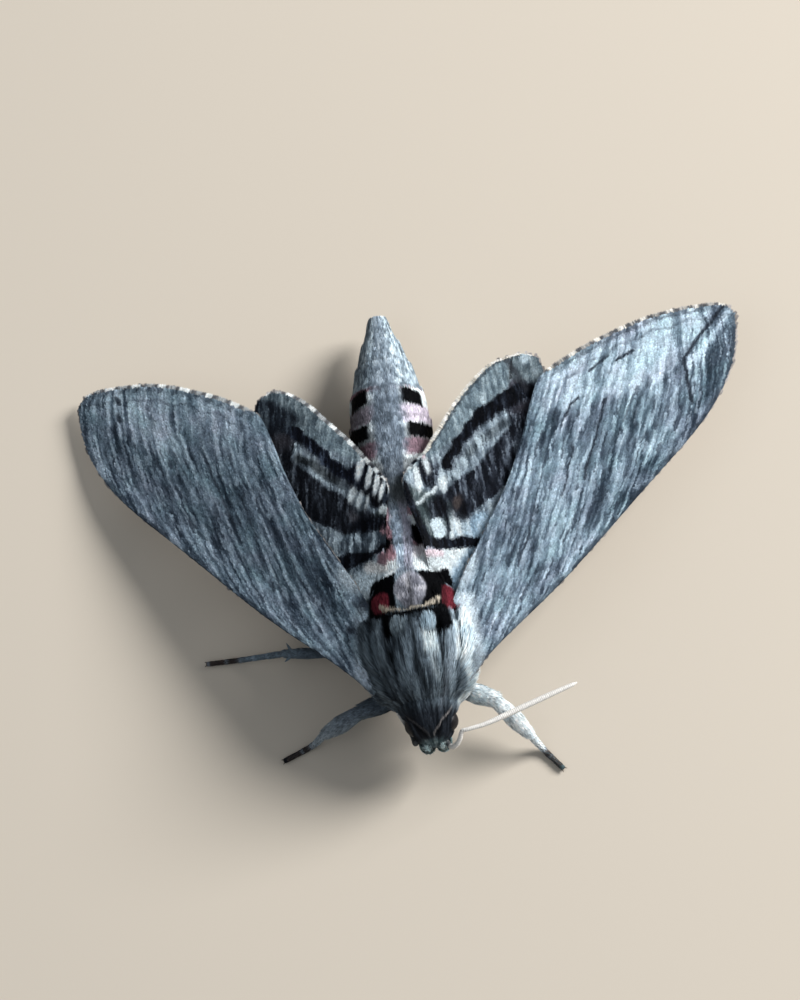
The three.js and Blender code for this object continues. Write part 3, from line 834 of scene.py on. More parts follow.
def scale_material(name, roughness, speck, bump_size, bump_height, gloss):
    """Painted cuticle or coat: the kept colours, dusted, with a fine silky grain."""
    material, tree, shader = new_material(name)
    tint = tree.nodes.new("ShaderNodeAttribute")
    tint.attribute_name = "tint"
    dust = add_cloud(tree, speck, 3.0)
    mixed = tree.nodes.new("ShaderNodeVectorMath")
    mixed.operation = "SCALE"
    tree.links.new(tint.outputs["Color"], mixed.inputs[0])
    tree.links.new(add_range(tree, dust, 0.82, 1.16, 0.3, 0.7), mixed.inputs["Scale"])
    tree.links.new(mixed.outputs["Vector"], shader.inputs["Base Color"])
    tree.links.new(add_range(tree, dust, roughness - 0.1, roughness + 0.12), shader.inputs["Roughness"])
    bump = tree.nodes.new("ShaderNodeBump")
    bump.inputs["Strength"].default_value = 0.6
    bump.inputs["Distance"].default_value = bump_height * MM
    tree.links.new(add_cloud(tree, bump_size), bump.inputs["Height"])
    tree.links.new(bump.outputs["Normal"], shader.inputs["Normal"])
    shader.inputs["Specular IOR Level"].default_value = gloss
    return material


def fasten(piece, material, slot, *nodes):
    """Gives a piece its material and puts it on the moth in place of its plain solids; the slot is not used.
    """
    piece.data.materials.append(material)
    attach(piece, "root")
    if nodes:
        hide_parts(*nodes)


skin_material = scale_material("scaled_skin", 0.65, 0.4, 0.12, 0.05, 0.04)
coat_material = scale_material("hair_scales", 0.65, 0.5, 0.05, 0.01, 0.035)
skin.data.materials.clear()
paint(skin, skin_tint(own_points(skin)))
skin.data.polygons.foreach_set("use_smooth", np.full(len(skin.data.polygons), True))
trunk_nodes = ["head", "collar", "thorax", "metathorax", "abdomen_tip"]
trunk_nodes += [f"abdomen_{number}" for number in range(1, 8)]
trunk_nodes += [f"{part}_{side}" for part in ("palp", "tegula") for side in SIGN]
leg_nodes = [f"{k}_{s}_{part}" for k, s in leg_lines for part in ("femur", "tibia", "tarsus")]
fasten(skin, skin_material, "coat", *trunk_nodes, *leg_nodes)


# ---------- coat ----------
# Thousands of flat hair-scales, rooted in the skin and combed towards the tail.
# They are shortest on the face, longest on the thorax and shoulders, and broad on the abdomen.

TUFT_PATCH = 0.003
STREW_STEPS = (0.7548776662, 0.5698402910)
BLADE_PATCH = np.array([(-0.5, -0.5), (0.5, -0.5), (-0.5, 0.1), (0.5, 0.1), (0.0, 0.5)])
# painted shade at each blade's root and a painted highlight at its tip
BLADE_PAINTED_SHADING = np.array([0.7, 0.7, 0.98, 0.98, 1.1])


def blades(root, lie, outward, length, width, rise, seed):
    """Narrow leaves from each root along its lie, with their tips raised. Five points each."""
    number = len(root)
    random = np.random.default_rng(seed)
    lie = unit(lie)
    across = unit(np.cross(outward, lie))
    twist = (random.random(number) - 0.5)[:, None] * 0.5
    across = unit(across + outward * twist)
    length = np.broadcast_to(length, number)[:, None]
    width = np.broadcast_to(width, number)[:, None]
    rise = np.broadcast_to(rise, number)[:, None]
    middle = root + lie * length * 0.5 + outward * rise * 0.75
    tip = root + lie * length + outward * rise
    points = np.stack([
        root - across * width * 0.35,
        root + across * width * 0.35,
        middle - across * width * 0.5,
        middle + across * width * 0.5,
        tip,
    ], 1)
    start = np.arange(number)[:, None] * 5
    quads = start + np.array([[0, 2, 3, 1]])
    tris = start + np.array([[2, 4, 3]])
    return points.reshape(-1, 3), quads, tris


def map_place(value, low, high, margin=0.02):
    """Where a value from low to high lies on the flat map, inside a margin."""
    return margin + (1 - 2 * margin) * (value - low) / (high - low)


def lay_coat(name, found, tint, places, material, slot, patch=BLADE_PATCH, shade=BLADE_PAINTED_SHADING):
    """One coat piece. Each tuft has the colour of its root, with painted shade at its root and a painted
    highlight at its tip, and its own small patch of the flat map, at the place of its root."""
    piece = new_piece(name, *found)
    paint(piece, (tint[:, None] * shade[None, :, None]).reshape(-1, 3))
    unfold(piece, (np.stack(places, -1)[:, None] + patch * TUFT_PATCH).reshape(-1, 2))
    fasten(piece, material, slot)


def uneven(tint, amount, random):
    """Each tuft a little lighter or darker than the next."""
    return tint * (1 + amount * random.normal(size=(len(tint), 1)))


def trunk_frame(along, angle):
    """Root points on the skin with the ways along, across and out of it."""
    step = 0.03
    root = skin_point(along, angle, -0.03)
    ahead = unit(trunk_point(along + step, angle, 0.0) - trunk_point(along - step, angle, 0.0))
    across = unit(trunk_point(along, angle + step, 0.0) - trunk_point(along, angle - step, 0.0))
    outward = unit(np.cross(across, ahead))
    straight = np.array([0.0, 1.0, 0.0]) - outward * outward[:, 1:2]
    return root, unit(0.35 * ahead + 0.65 * unit(straight)), across, outward


def tint_near(points):
    """The trunk's colour at points near it."""
    along, angle, _ = trunk_polar(points)
    return trunk_tint(along, angle)


def strewn(number):
    """Two rows of shares from 0 to 1, which together strew places evenly and never in lines."""
    order = np.arange(number) + 0.5
    return [(order * step) % 1.0 for step in STREW_STEPS]


def spread_over_trunk(start, end, number, seed):
    """Even places on a stretch of the trunk, thicker where it is thicker."""
    random = np.random.default_rng(seed)
    rows = np.linspace(start, end, 400)
    _, width, height = trunk_section(rows)
    total = np.cumsum(width + height)
    ahead, around = strewn(number)
    jitter = random.normal(size=(2, number)) * 0.05
    along = np.interp(ahead, total / total[-1], rows) + jitter[0]
    return np.clip(along, start, end), (around * 2 - 1) * np.pi + jitter[1] * 0.3


def clear_of_eyes(points, room):
    keep = np.ones(len(points), bool)
    for sign in SIGN.values():
        keep &= np.linalg.norm(points - EYE_CENTRE * (sign, 1, 1), axis=-1) > EYE_RADIUS + room
    return keep


def make_trunk_coat(name, start, end, number, length, width, rise, splay, seed, joins):
    """One stretch of the coat. Length, width and rise are tables along the trunk, and joins says
    over how many millimetres it thins out at its front and at its back, among its neighbours."""
    random = np.random.default_rng(seed)
    along, angle = spread_over_trunk(start, end, number, seed)
    root, ahead, across, outward = trunk_frame(along, angle)
    lock = mottle(along * 0.5, angle * 6.5, seed) - 0.5
    comb = splay * lock * 2 + random.normal(size=number) * 0.06
    fan = np.interp(along, [-8, -2, 3, 8], [0, 0.1, 0.12, 0.0]) * np.sin(angle)
    lie = ahead + across * (comb + fan)[:, None]
    size = 0.8 + 0.4 * random.random(number)
    fine_marks = band(along, -2.7, 5.2, 0.4) * (1 - ease(np.abs(angle), 1.0, 1.3))
    long = np.interp(along, *length) * size * (1 - 0.56 * fine_marks)
    long = np.minimum(long, np.maximum(0.15, TAIL_END - 0.05 - along))
    wide = np.interp(along, *width) * (0.8 + 0.4 * random.random(number)) * (1 - 0.25 * fine_marks)
    lift = np.interp(along, *rise) * (0.55 + 0.9 * random.random(number) * (0.6 + lock))
    lift = lift * (1 - 0.5 * fine_marks)
    for sign in SIGN.values():
        away = root - EYE_CENTRE * (sign, 1, 1)
        near = 1 - ease(np.linalg.norm(away, axis=1), EYE_RADIUS + 0.1, EYE_RADIUS + 0.7)
        lie = unit(lie) + unit(away) * 0.5 * near[:, None]
        long = long * (1 - 0.5 * near)
        lift = lift * (1 - 0.6 * near)
    chosen = clear_of_eyes(root, 0.01) & clear_of_eyes(root + unit(lie) * long[:, None], 0.03)
    thick = np.minimum((along - start) / joins[0], (end - along) / joins[1])
    chosen &= random.random(number) < thick
    tint = uneven(tint_near(root + unit(lie) * long[:, None] * 0.62), 0.08, random)
    pick = np.flatnonzero(chosen)
    found = blades(*(part[pick] for part in (root, lie, outward, long, wide, lift)), seed)
    places = map_place(along[pick], SNOUT, TAIL_END), map_place(angle[pick] / (2 * np.pi) % 1.0, 0, 1)
    lay_coat(name, found, tint[pick], places, coat_material, "coat")


make_trunk_coat(
    "coat_head", -12.9, -8.2, 21000,
    ([-13, -12, -9], [0.35, 0.6, 1.1]), ([-13, -9], [0.08, 0.12]), ([-13, -9], [0.12, 0.35]),
    0.18, 51, (0.01, 2.0),
)
make_trunk_coat(
    "coat_thorax", -10.6, 8.2, 66000,
    ([-10.6, -9, -6, 2, 8], [0.8, 1.2, 1.9, 1.6, 1.1]), ([-9, 8], [0.1, 0.13]),
    ([-10.6, -9, -5, 3, 8], [0.2, 0.3, 0.42, 0.42, 0.3]), 0.14, 52, (2.0, 0.6),
)
make_trunk_coat(
    "coat_abdomen", 7.4, 36.9, 61000,
    ([8, 30, 37], [0.85, 0.75, 0.95]), ([8, 37], [0.2, 0.15]), ([8, 30, 37], [0.22, 0.18, 0.22]),
    0.12, 53, (0.6, 0.01),
)


# ---------- palp scales ----------
# The two blunt palps before the mouth are clad in short rough scales that stand up and forward.
# They close the front of the head, and the small gap between the palps is hidden in them.

PALP_SCALES = 5200
GOLDEN_TURN = 2.3999632


def make_palp_coat():
    random = np.random.default_rng(58)
    order = np.arange(PALP_SCALES) + 0.5
    height = 1 - 2 * order / PALP_SCALES
    turn = order * GOLDEN_TURN
    level = np.sqrt(1 - height ** 2)
    ball = np.stack([level * np.cos(turn), level * np.sin(turn), height], -1)
    sign = np.where(order % 2 < 1, 1.0, -1.0)
    centre = PALP_CENTRE * np.stack([sign, np.ones(PALP_SCALES), np.ones(PALP_SCALES)], -1)
    root = centre + tilted(ball * (PALP_HALF - 0.14), PALP_TILT)
    outward = unit(tilted(ball / PALP_HALF, PALP_TILT))
    up = np.array([0.0, -0.2, 1.0]) + random.normal(size=(PALP_SCALES, 3)) * 0.25
    lie = up - outward * (up * outward).sum(-1, keepdims=True)
    length = 0.62 * random.uniform(0.6, 1.3, PALP_SCALES)
    rise = random.uniform(0.08, 0.24, PALP_SCALES)
    _, _, reach = trunk_polar(root)
    keep = np.flatnonzero((reach >= 0.9) | (root[:, 1] <= SNOUT))
    # the scales are painted lighter towards the top of the palps, as painted light
    light = ease(root[:, 2], 2.6, 4.8) * (0.3 + mottle(root[:, 0] * 2.5, root[:, 2] * 1.5, 59))
    tint = ramp(light, [(0.0, colour(110, 124, 130)), (1.0, colour(206, 226, 228))])
    tint = uneven(tint, 0.14, random)
    found = blades(root[keep], lie[keep], outward[keep], length[keep], 0.11, rise[keep], 59)
    u = 0.27 + 0.24 * sign[keep] + 0.2 * (turn[keep] / (2 * np.pi) % 1.0)
    places = u, map_place(height[keep], -1, 1, 0.05)
    lay_coat("coat_palps", found, tint[keep], places, coat_material, "coat")


make_palp_coat()


# ---------- shoulder fringe and leg scales ----------
# Long pale hairs sweep from the shoulders back over the wing roots, and short scales clad the legs.
# They are rooted in the same skin as the coat, and the leg scales point to the toes.

FRINGE_HAIRS = 3900
LEG_SCALES = 5200


def make_shoulder_fringe(side):
    sign = SIGN[side]
    random = np.random.default_rng(61)
    along = random.uniform(-8.4, -0.4, FRINGE_HAIRS)
    angle = sign * np.radians(random.uniform(47, 76, FRINGE_HAIRS))
    root, ahead, across, outward = trunk_frame(along, angle)
    lock = mottle(along * 0.7, np.abs(angle) * 9, 62) - 0.5
    sweep = sign * (0.2 + 0.5 * lock + random.normal(size=FRINGE_HAIRS) * 0.08)
    lie = ahead + across * sweep[:, None]
    length = np.interp(along, [-8, -5, -2.4, -0.4], [1.4, 2.4, 2.0, 0.7])
    length = length * random.uniform(0.7, 1.2, FRINGE_HAIRS)
    rise = random.uniform(0.35, 1.0, FRINGE_HAIRS)
    tint = uneven(tint_near(root + unit(lie) * length[:, None] * 0.6), 0.08, random)
    found = blades(root, lie, outward, length, 0.15, rise, 63)
    places = map_place(along, -9, 0, 0.05), map_place(np.degrees(np.abs(angle)), 45, 80, 0.05)
    lay_coat(f"shoulder_fringe_{side}", found, tint, places, coat_material, "coat")


def walk(points):
    """The distance walked along a path at each of its points."""
    return np.concatenate([[0], np.cumsum(np.linalg.norm(np.diff(points, axis=0), axis=1))])


def read_path(at, walked, points):
    """Points of a path at given distances along it."""
    return np.stack([np.interp(at, walked, column) for column in points.T], -1)


def make_leg_coat(kind, side, seed):
    path, radii, shares = leg_lines[kind, side]
    random = np.random.default_rng(seed)
    walked = walk(path)
    weight = np.cumsum(np.concatenate([[0], np.diff(walked) * radii[1:]]))
    down, around = strewn(LEG_SCALES)
    at = np.interp(down * 0.985, weight / weight[-1], walked)
    turn = around * 2 * np.pi
    forward = unit(read_path(at, walked, np.gradient(path, walked, axis=0)))
    level, top = level_and_top(forward)
    outward = level * np.cos(turn)[:, None] + top * np.sin(turn)[:, None]
    share = np.interp(at, walked, shares)
    root = read_path(at, walked, path) + outward * (np.interp(at, walked, radii) - 0.02)[:, None]
    lie = forward + np.cross(outward, forward) * (random.normal(size=LEG_SCALES) * 0.1)[:, None]
    length = np.interp(share, [0, 1, 1.9, 2.2, 3], [0.75, 0.75, 0.6, 0.36, 0.28])
    length = length * random.uniform(0.8, 1.2, LEG_SCALES)
    width = np.interp(share, [0, 1.9, 2.2, 3], [0.15, 0.14, 0.09, 0.08])
    rise = np.interp(share, [0, 1.9, 2.1, 3], [0.17, 0.15, 0.07, 0.05])
    rise = rise * random.uniform(0.6, 1.4, LEG_SCALES)
    tips = root + unit(lie) * length[:, None] + outward * rise[:, None]
    _, _, reach = trunk_polar(root)
    keep = np.flatnonzero((reach > 0.97) & (tips[:, 2] > 0.0) & (root[:, 2] > 0.03))
    tint = uneven(leg_tint(kind, side, share, turn), 0.09, random)
    found = blades(*(part[keep] for part in (root, lie, outward, length, width, rise)), seed)
    places = map_place(share[keep], 0, 3), map_place(turn[keep], 0, 2 * np.pi)
    lay_coat(f"{kind}_coat_{side}", found, tint[keep], places, coat_material, "leg")


for side in SIGN:
    make_shoulder_fringe(side)
for number, (kind, side) in enumerate(leg_lines):
    make_leg_coat(kind, side, 70 + number)


# ---------- claws ----------
# Each foot ends in two hooked claws of hard dark cuticle with a soft pad between them.

CLAW_LENGTH = 0.42


def cloudy_material(name, size, stops, finish):
    """Hard smooth cuticle: two dark shades in soft clouds, under a gloss."""
    material, tree, shader = new_material(name)
    shades = tree.nodes.new("ShaderNodeValToRGB")
    for element, (place, shade) in zip(shades.color_ramp.elements, stops):
        element.position = place
        element.color = (*shade, 1)
    tree.links.new(add_cloud(tree, size), shades.inputs["Fac"])
    tree.links.new(shades.outputs["Color"], shader.inputs["Base Color"])
    for socket, value in finish.items():
        shader.inputs[socket].default_value = value
    return material


def make_claws():
    points, quads, tris = [], [], []
    total = 0
    for path, _, _ in leg_lines.values():
        forward = unit(path[-1] - path[-4])
        level, _ = level_and_top(forward)
        for turn in (-1, 0, 1):
            share = np.linspace(0, 1, 10)[:, None]
            reach = CLAW_LENGTH if turn else CLAW_LENGTH * 0.45
            line = path[-1] - forward * 0.1 + level * turn * 0.12
            line = line + (forward * 0.85 + level * turn * 0.42) * share * reach
            line = line + np.array([0, 0, 1.0]) * (0.10 * np.sin(share * 2.4) - 0.16 * share ** 2)
            width = (0.085 if turn else 0.15) * (1 - 0.9 * share[:, 0] ** 1.5)
            line[:, 2] = np.maximum(line[:, 2], width + 0.01)
            found, four, three = tube(line, width, 10)
            points.append(found)
            quads.append(four + total)
            tris.append(three + total)
            total += len(found)
    piece = new_piece("claws", np.concatenate(points), np.concatenate(quads), np.concatenate(tris))
    horn = ((0.0, (0.012, 0.008, 0.006)), (1.0, (0.06, 0.035, 0.02)))
    fasten(piece, cloudy_material("claw_horn", 0.15, horn, {"Roughness": 0.3}), "leg")


make_claws()


# ---------- eyes ----------
# Two round eyes of thousands of tiny lenses, almost black with a soft gleam.
# Each is set deep in its socket, with the short scales of the face lapping over its rim.

LENS_HEIGHT = 0.011


def make_eye(side, material):
    centre = EYE_CENTRE * (SIGN[side], 1, 1)
    eye = make_ball(f"eye_lens_{side}", centre, np.full(3, EYE_RADIUS - 0.03), 0.0, 6)
    coarse = bmesh.new()
    bmesh.ops.create_icosphere(coarse, subdivisions=5, radius=1.0)
    lenses = len(coarse.verts)
    coarse.free()
    points = own_points(eye)
    points[:lenses] += unit(points[:lenses] - centre) * LENS_HEIGHT
    eye.data.vertices.foreach_set("co", in_metres(points).astype(np.float32).ravel())
    eye.data.update()
    fasten(eye, material, "eye", f"eye_{side}")


LENS_STOPS = ((0.3, (0.005, 0.005, 0.007)), (0.75, (0.009, 0.008, 0.009)))
LENS_FINISH = {"Roughness": 0.36, "Specular IOR Level": 0.2, "Coat Weight": 0.06, "Coat Roughness": 0.25}
lens_material = cloudy_material("eye_lenses", 0.9, LENS_STOPS, LENS_FINISH)
for side in SIGN:
    make_eye(side, lens_material)


# ---------- feelers ----------
# Each feeler is a stiff shaft of about eighty short rings, thickest past its middle.
# It is clad in white scales above and bare and brown beneath, and ends in a fine point.

FEELER_RADII = [0.34, 0.32, 0.27, 0.3, 0.36, 0.38, 0.37, 0.33, 0.26]
FEELERS = {
    "left": [
        (1.05, -12.3, 6.7), (1.75, -13.4, 7.0), (2.35, -13.47, 7.8), (2.83, -13.07, 8.3), (3.09, -12.6, 8.75),
        (3.31, -12.32, 9.0), (3.8, -12.29, 9.1), (5.77, -11.97, 8.9), (8.78, -11.04, 8.45),
        (12.82, -9.73, 7.85), (16.08, -8.71, 7.35),
    ],
    "right": [
        (1.5, -11.8, 6.8), (2.0, -12.25, 6.3), (2.2, -12.1, 5.6), (2.35, -11.4, 5.05), (2.65, -10.5, 4.5),
        (3.05, -9.5, 4.0), (3.6, -8.3, 3.5), (4.2, -6.7, 3.3), (4.9, -5.1, 3.8), (5.6, -3.8, 4.9),
        (6.3, -2.9, 6.0), (7.1, -1.7, 7.0), (7.8, -0.2, 7.4),
    ],
}
RINGS_IN_FEELER = 84
FEELER_SIDES = 18
STEPS_IN_RING = 5
FEELER_SLIMMING = 0.05


def smooth_path(points, number):
    """Even steps along a smooth curve through the points."""
    points = np.asarray(points, float)
    knots = np.concatenate([[0], np.cumsum(np.sqrt(np.linalg.norm(np.diff(points, axis=0), axis=1)))])
    slopes = np.gradient(points, knots, axis=0)
    fine = np.linspace(0, knots[-1], 2000)
    row = np.clip(np.searchsorted(knots, fine, "right") - 1, 0, len(points) - 2)
    span = (knots[row + 1] - knots[row])[:, None]
    share = (fine - knots[row])[:, None] / span
    curve = blend(points[row], slopes[row] * span, points[row + 1], slopes[row + 1] * span, share)
    walked = walk(curve)
    return read_path(np.linspace(0, walked[-1], number), walked, curve)


def make_feeler(side, material):
    steps = RINGS_IN_FEELER * STEPS_IN_RING + 1
    path = smooth_path(np.array(FEELERS[side]) * (SIGN[side], 1, 1), steps)
    share = np.linspace(0, 1, steps)
    radius = np.interp(share * (len(FEELER_RADII) - 1), np.arange(len(FEELER_RADII)), FEELER_RADII)
    ring = (share * RINGS_IN_FEELER) % 1.0
    collar = 0.032 * ring ** 2 - 0.028 * ridge(ring, 0.02, 0.12)
    tip = 1 - 0.55 * ease(share, 0.965, 1.0)
    points, quads, tris = tube(path, (radius + collar - FEELER_SLIMMING) * tip, FEELER_SIDES)
    feeler = new_piece(f"feeler_{side}", points, quads, tris)
    _, top = level_and_top(unit(np.gradient(path, axis=0)))
    spokes = points[1:-1].reshape(steps, FEELER_SIDES, 3) - path[:, None]
    height = (spokes * top[:, None]).sum(-1) / np.maximum(np.linalg.norm(spokes, axis=-1), 1e-6)
    # the root of each feeler is painted darker, as painted shade, and dark grey, as a painted shadow; on the
    # right feeler, tucked under the head, both reach over about its first third
    if side == "right":
        base = 1 - ease(share, 0.16, 0.34)
        shadow = 1 - ease(share, 0.2, 0.4)
    else:
        base = 0.12 * (1 - ease(share, 0.05, 0.12))
        shadow = 1 - ease(share, 0.055, 0.075)
    tint = colour(248, 246, 242) * (0.9 + 0.1 * ring - 0.62 * base)[:, None, None]
    tint = over(tint, colour(150, 118, 88), 0.85 * ease(-height, 0.35, 0.75))
    tint = over(tint, colour(120, 116, 112), 0.5 * (ring < 0.12)[:, None])
    tint = over(tint, colour(52, 56, 60), 0.9 * shadow[:, None])
    paint(feeler, np.concatenate([tint[0, :1], tint.reshape(-1, 3), tint[-1, :1]]))
    fasten(feeler, material, "feeler", f"antenna_{side}")


feeler_material = scale_material("feeler_scales", 0.5, 0.25, 0.06, 0.02, 0.3)
for side in SIGN:
    make_feeler(side, feeler_material)


# ---------- wings ----------
# Thin stiff blades with raised veins, tiled on both faces with overlapping scales and fringed behind.
# The two wings of a side lie in one roof, which slopes away from the body; the forewing is uppermost.

ROOF_CAMBER = 1.5
ROOF_WIDTH = 24.0
ROOF_DROOP = 1.2
ROOF_LIFT = 1.55
ROOF_BLEND = 0.6
WING_LENGTH = 47.5
FOREWING_ROOT = (5.2, -3.6, 12.0)
HINDWING_ROOT = (3.2, 4.6)
HINDWING_DROP = -1.0
WING_HOLD = {
    "left": {"sweep": 50.0, "drop": 6.5, "bank": 4.0, "hind": 25.5},
    "right": {"sweep": 43.5, "drop": 12.5, "bank": 8.0, "hind": 24.5},
}
FOREWING_FRONT = np.array([
    (-3.6, -2.9), (2.3, -2.7), (12.6, -3.0), (25.7, -2.5), (34.6, -2.1), (39.6, -1.2),
    (43.8, 0.5), (46.9, 2.9), (48.2, 4.4),
])
FOREWING_BACK = {
    "left": np.array([
        (-3.4, 1.6), (1.0, 3.4), (5.2, 5.1), (11.0, 6.9), (16.0, 8.5), (21.0, 10.8), (24.6, 12.8),
        (27.9, 14.2), (31.7, 13.7), (35.8, 12.5), (41.3, 10.3), (46.6, 6.9), (48.2, 5.2),
    ]),
    "right": np.array([
        (-3.4, 1.6), (1.0, 3.4), (5.2, 5.1), (11.0, 6.9), (16.0, 8.5), (21.0, 10.8), (24.6, 12.8),
        (28.2, 14.4), (31.9, 14.1), (36.0, 13.0), (41.5, 10.8), (46.7, 7.1), (48.2, 5.3),
    ]),
}
HINDWING_FRONT = np.array([
    (-1.5, -2.0), (5.0, -3.8), (12.0, -5.0), (20.0, -4.6), (26.0, -2.6), (28.9, -0.3),
])
HINDWING_BACK = {
    "left": np.array([
        (-1.5, 1.6), (4.2, 4.7), (8.0, 7.5), (10.2, 8.8), (12.4, 8.8), (14.4, 7.9), (17.3, 7.3),
        (20.5, 6.6), (23.6, 5.6), (26.6, 4.0), (28.7, 1.3),
    ]),
    "right": np.array([
        (-1.5, 1.6), (4.2, 3.9), (8.7, 6.2), (10.6, 7.4), (12.5, 7.6), (15.1, 7.1), (18.6, 6.3),
        (22.0, 5.2), (25.1, 4.2), (27.6, 2.8), (29.1, 1.1),
    ]),
}
BLADE_HALF = 0.12
BLADE_ROWS = 260
BLADE_COLUMNS = 84
# the blade is painted darker than its scales, as painted shade between them
WING_BLADE_PAINTED_SHADE = 0.8
EDGE_ROUND = 0.7
VEIN_HEIGHT = 0.07
VEIN_WIDTH = 0.16
SCALES_STREWN = 2.6
TRUNK_REACH = 0.93
FRINGE_LENGTH = 0.95
HAIRS_PER_MM = 85
FRINGE_WHITE = {"left": colour(248, 244, 234), "right": colour(232, 240, 242)}
FRINGE_GAPS = {
    ("forewing", "left"): colour(100, 102, 106),
    ("forewing", "right"): colour(100, 102, 106),
    ("hindwing", "left"): colour(170, 166, 158),
    ("hindwing", "right"): colour(100, 102, 106),
}
STREAK_SLOPE = 0.5
STREAK_BEND = 1.6
VEIN_GAP = 1.9
HINDWING_VEINS = (-0.14, -0.05, 0.05, 0.14, 0.24, 0.36, 0.52, 0.75)
# tone of each side's wings; the right side's lower value is painted shade, for the wings that slope away from
# the lamp
WING_TONE_AND_PAINTED_SHADE = {"left": 0.92, "right": 0.88}
SMOKY_BAND = np.array([
    (8, 2.9, 1.8), (10, 2.2, 2.1), (12, 1.0, 2.3), (14, -0.3, 2.1), (16, -0.9, 1.9), (18, -1.3, 1.5),
    (20, -1.5, 1.0), (22, -0.6, 1.5), (27, -0.3, 1.4),
])


def outline_point(points, share):
    """A point of an outline, from 0 at its first knot to 1 at its last."""
    padded = np.concatenate([points[:1], points, points[-1:]])
    slopes = (padded[2:] - padded[:-2]) / 2
    place = np.clip(share, 0, 1) * (len(points) - 1)
    row = np.minimum(place.astype(int), len(points) - 2)
    step = (place - row)[..., None]
    return blend(points[row], slopes[row], points[row + 1], slopes[row + 1], step)


def roof_point(side, out, back, lift):
    """A place on the wings' roof: out along the forewing, back across it, and up from it."""
    shape = WING_HOLD[side]
    sweep = math.radians(shape["sweep"])
    x = FOREWING_ROOT[0] + out * math.sin(sweep) - back * math.cos(sweep)
    y = FOREWING_ROOT[1] + out * math.cos(sweep) + back * math.sin(sweep)
    roof = FOREWING_ROOT[2] - out * math.tan(math.radians(shape["drop"]))
    roof = roof + back * math.tan(math.radians(shape["bank"])) - ROOF_DROOP * (out / WING_LENGTH) ** 2
    roof = roof + ROOF_CAMBER * np.sin(np.pi * np.clip(back / ROOF_WIDTH, 0, 1))
    hang = 8 * (1 - ease(y, 2.5, 7.0))
    rest = trunk_top(x, y) + ROOF_LIFT - hang
    gap = np.abs(roof - rest)
    draped = np.maximum(roof, rest) + ROOF_BLEND * np.log1p(np.exp(-gap / ROOF_BLEND))
    z = np.where(np.abs(x) < 8, draped, roof)
    return np.stack([SIGN[side] * x, y, z + lift], -1)


def hind_to_roof(side, u, v):
    turn = math.radians(WING_HOLD[side]["hind"])
    out = HINDWING_ROOT[0] + u * math.cos(turn) - v * math.sin(turn)
    back = HINDWING_ROOT[1] + u * math.sin(turn) + v * math.cos(turn)
    return out, back


def forewing_place(side, out, back, lift):
    """The forewing's root dips under the coat of the shoulder."""
    return roof_point(side, out, back, lift - 1.3 * (1 - ease(out, -2.8, 0.6)))


def hindwing_place(side, u, v, lift):
    out, back = hind_to_roof(side, u, v)
    return roof_point(side, out, back, HINDWING_DROP + lift)


def behind_front(out, back):
    return np.maximum(back - read_table(out, FOREWING_FRONT) + 0.8, 0.3)


def stream(out, back):
    """A number that stays the same along each streak of the forewing: the streaks leave the leading
    edge at a shallow angle and run out and back across the wing."""
    share = behind_front(out, back) / STREAK_BEND
    return STREAK_BEND * np.log(np.expm1(share)) - STREAK_SLOPE * out


def straightness(out, back):
    """0 where the forewing's streaks leave the leading edge, and 1 where they run straight."""
    return 1 - np.exp(-behind_front(out, back) / STREAK_BEND)


def forewing_lie(out, back):
    return STREAK_SLOPE * straightness(out, back)


def hindwing_lie(u, v):
    return 0.12 + 0.06 * v + 0.008 * u


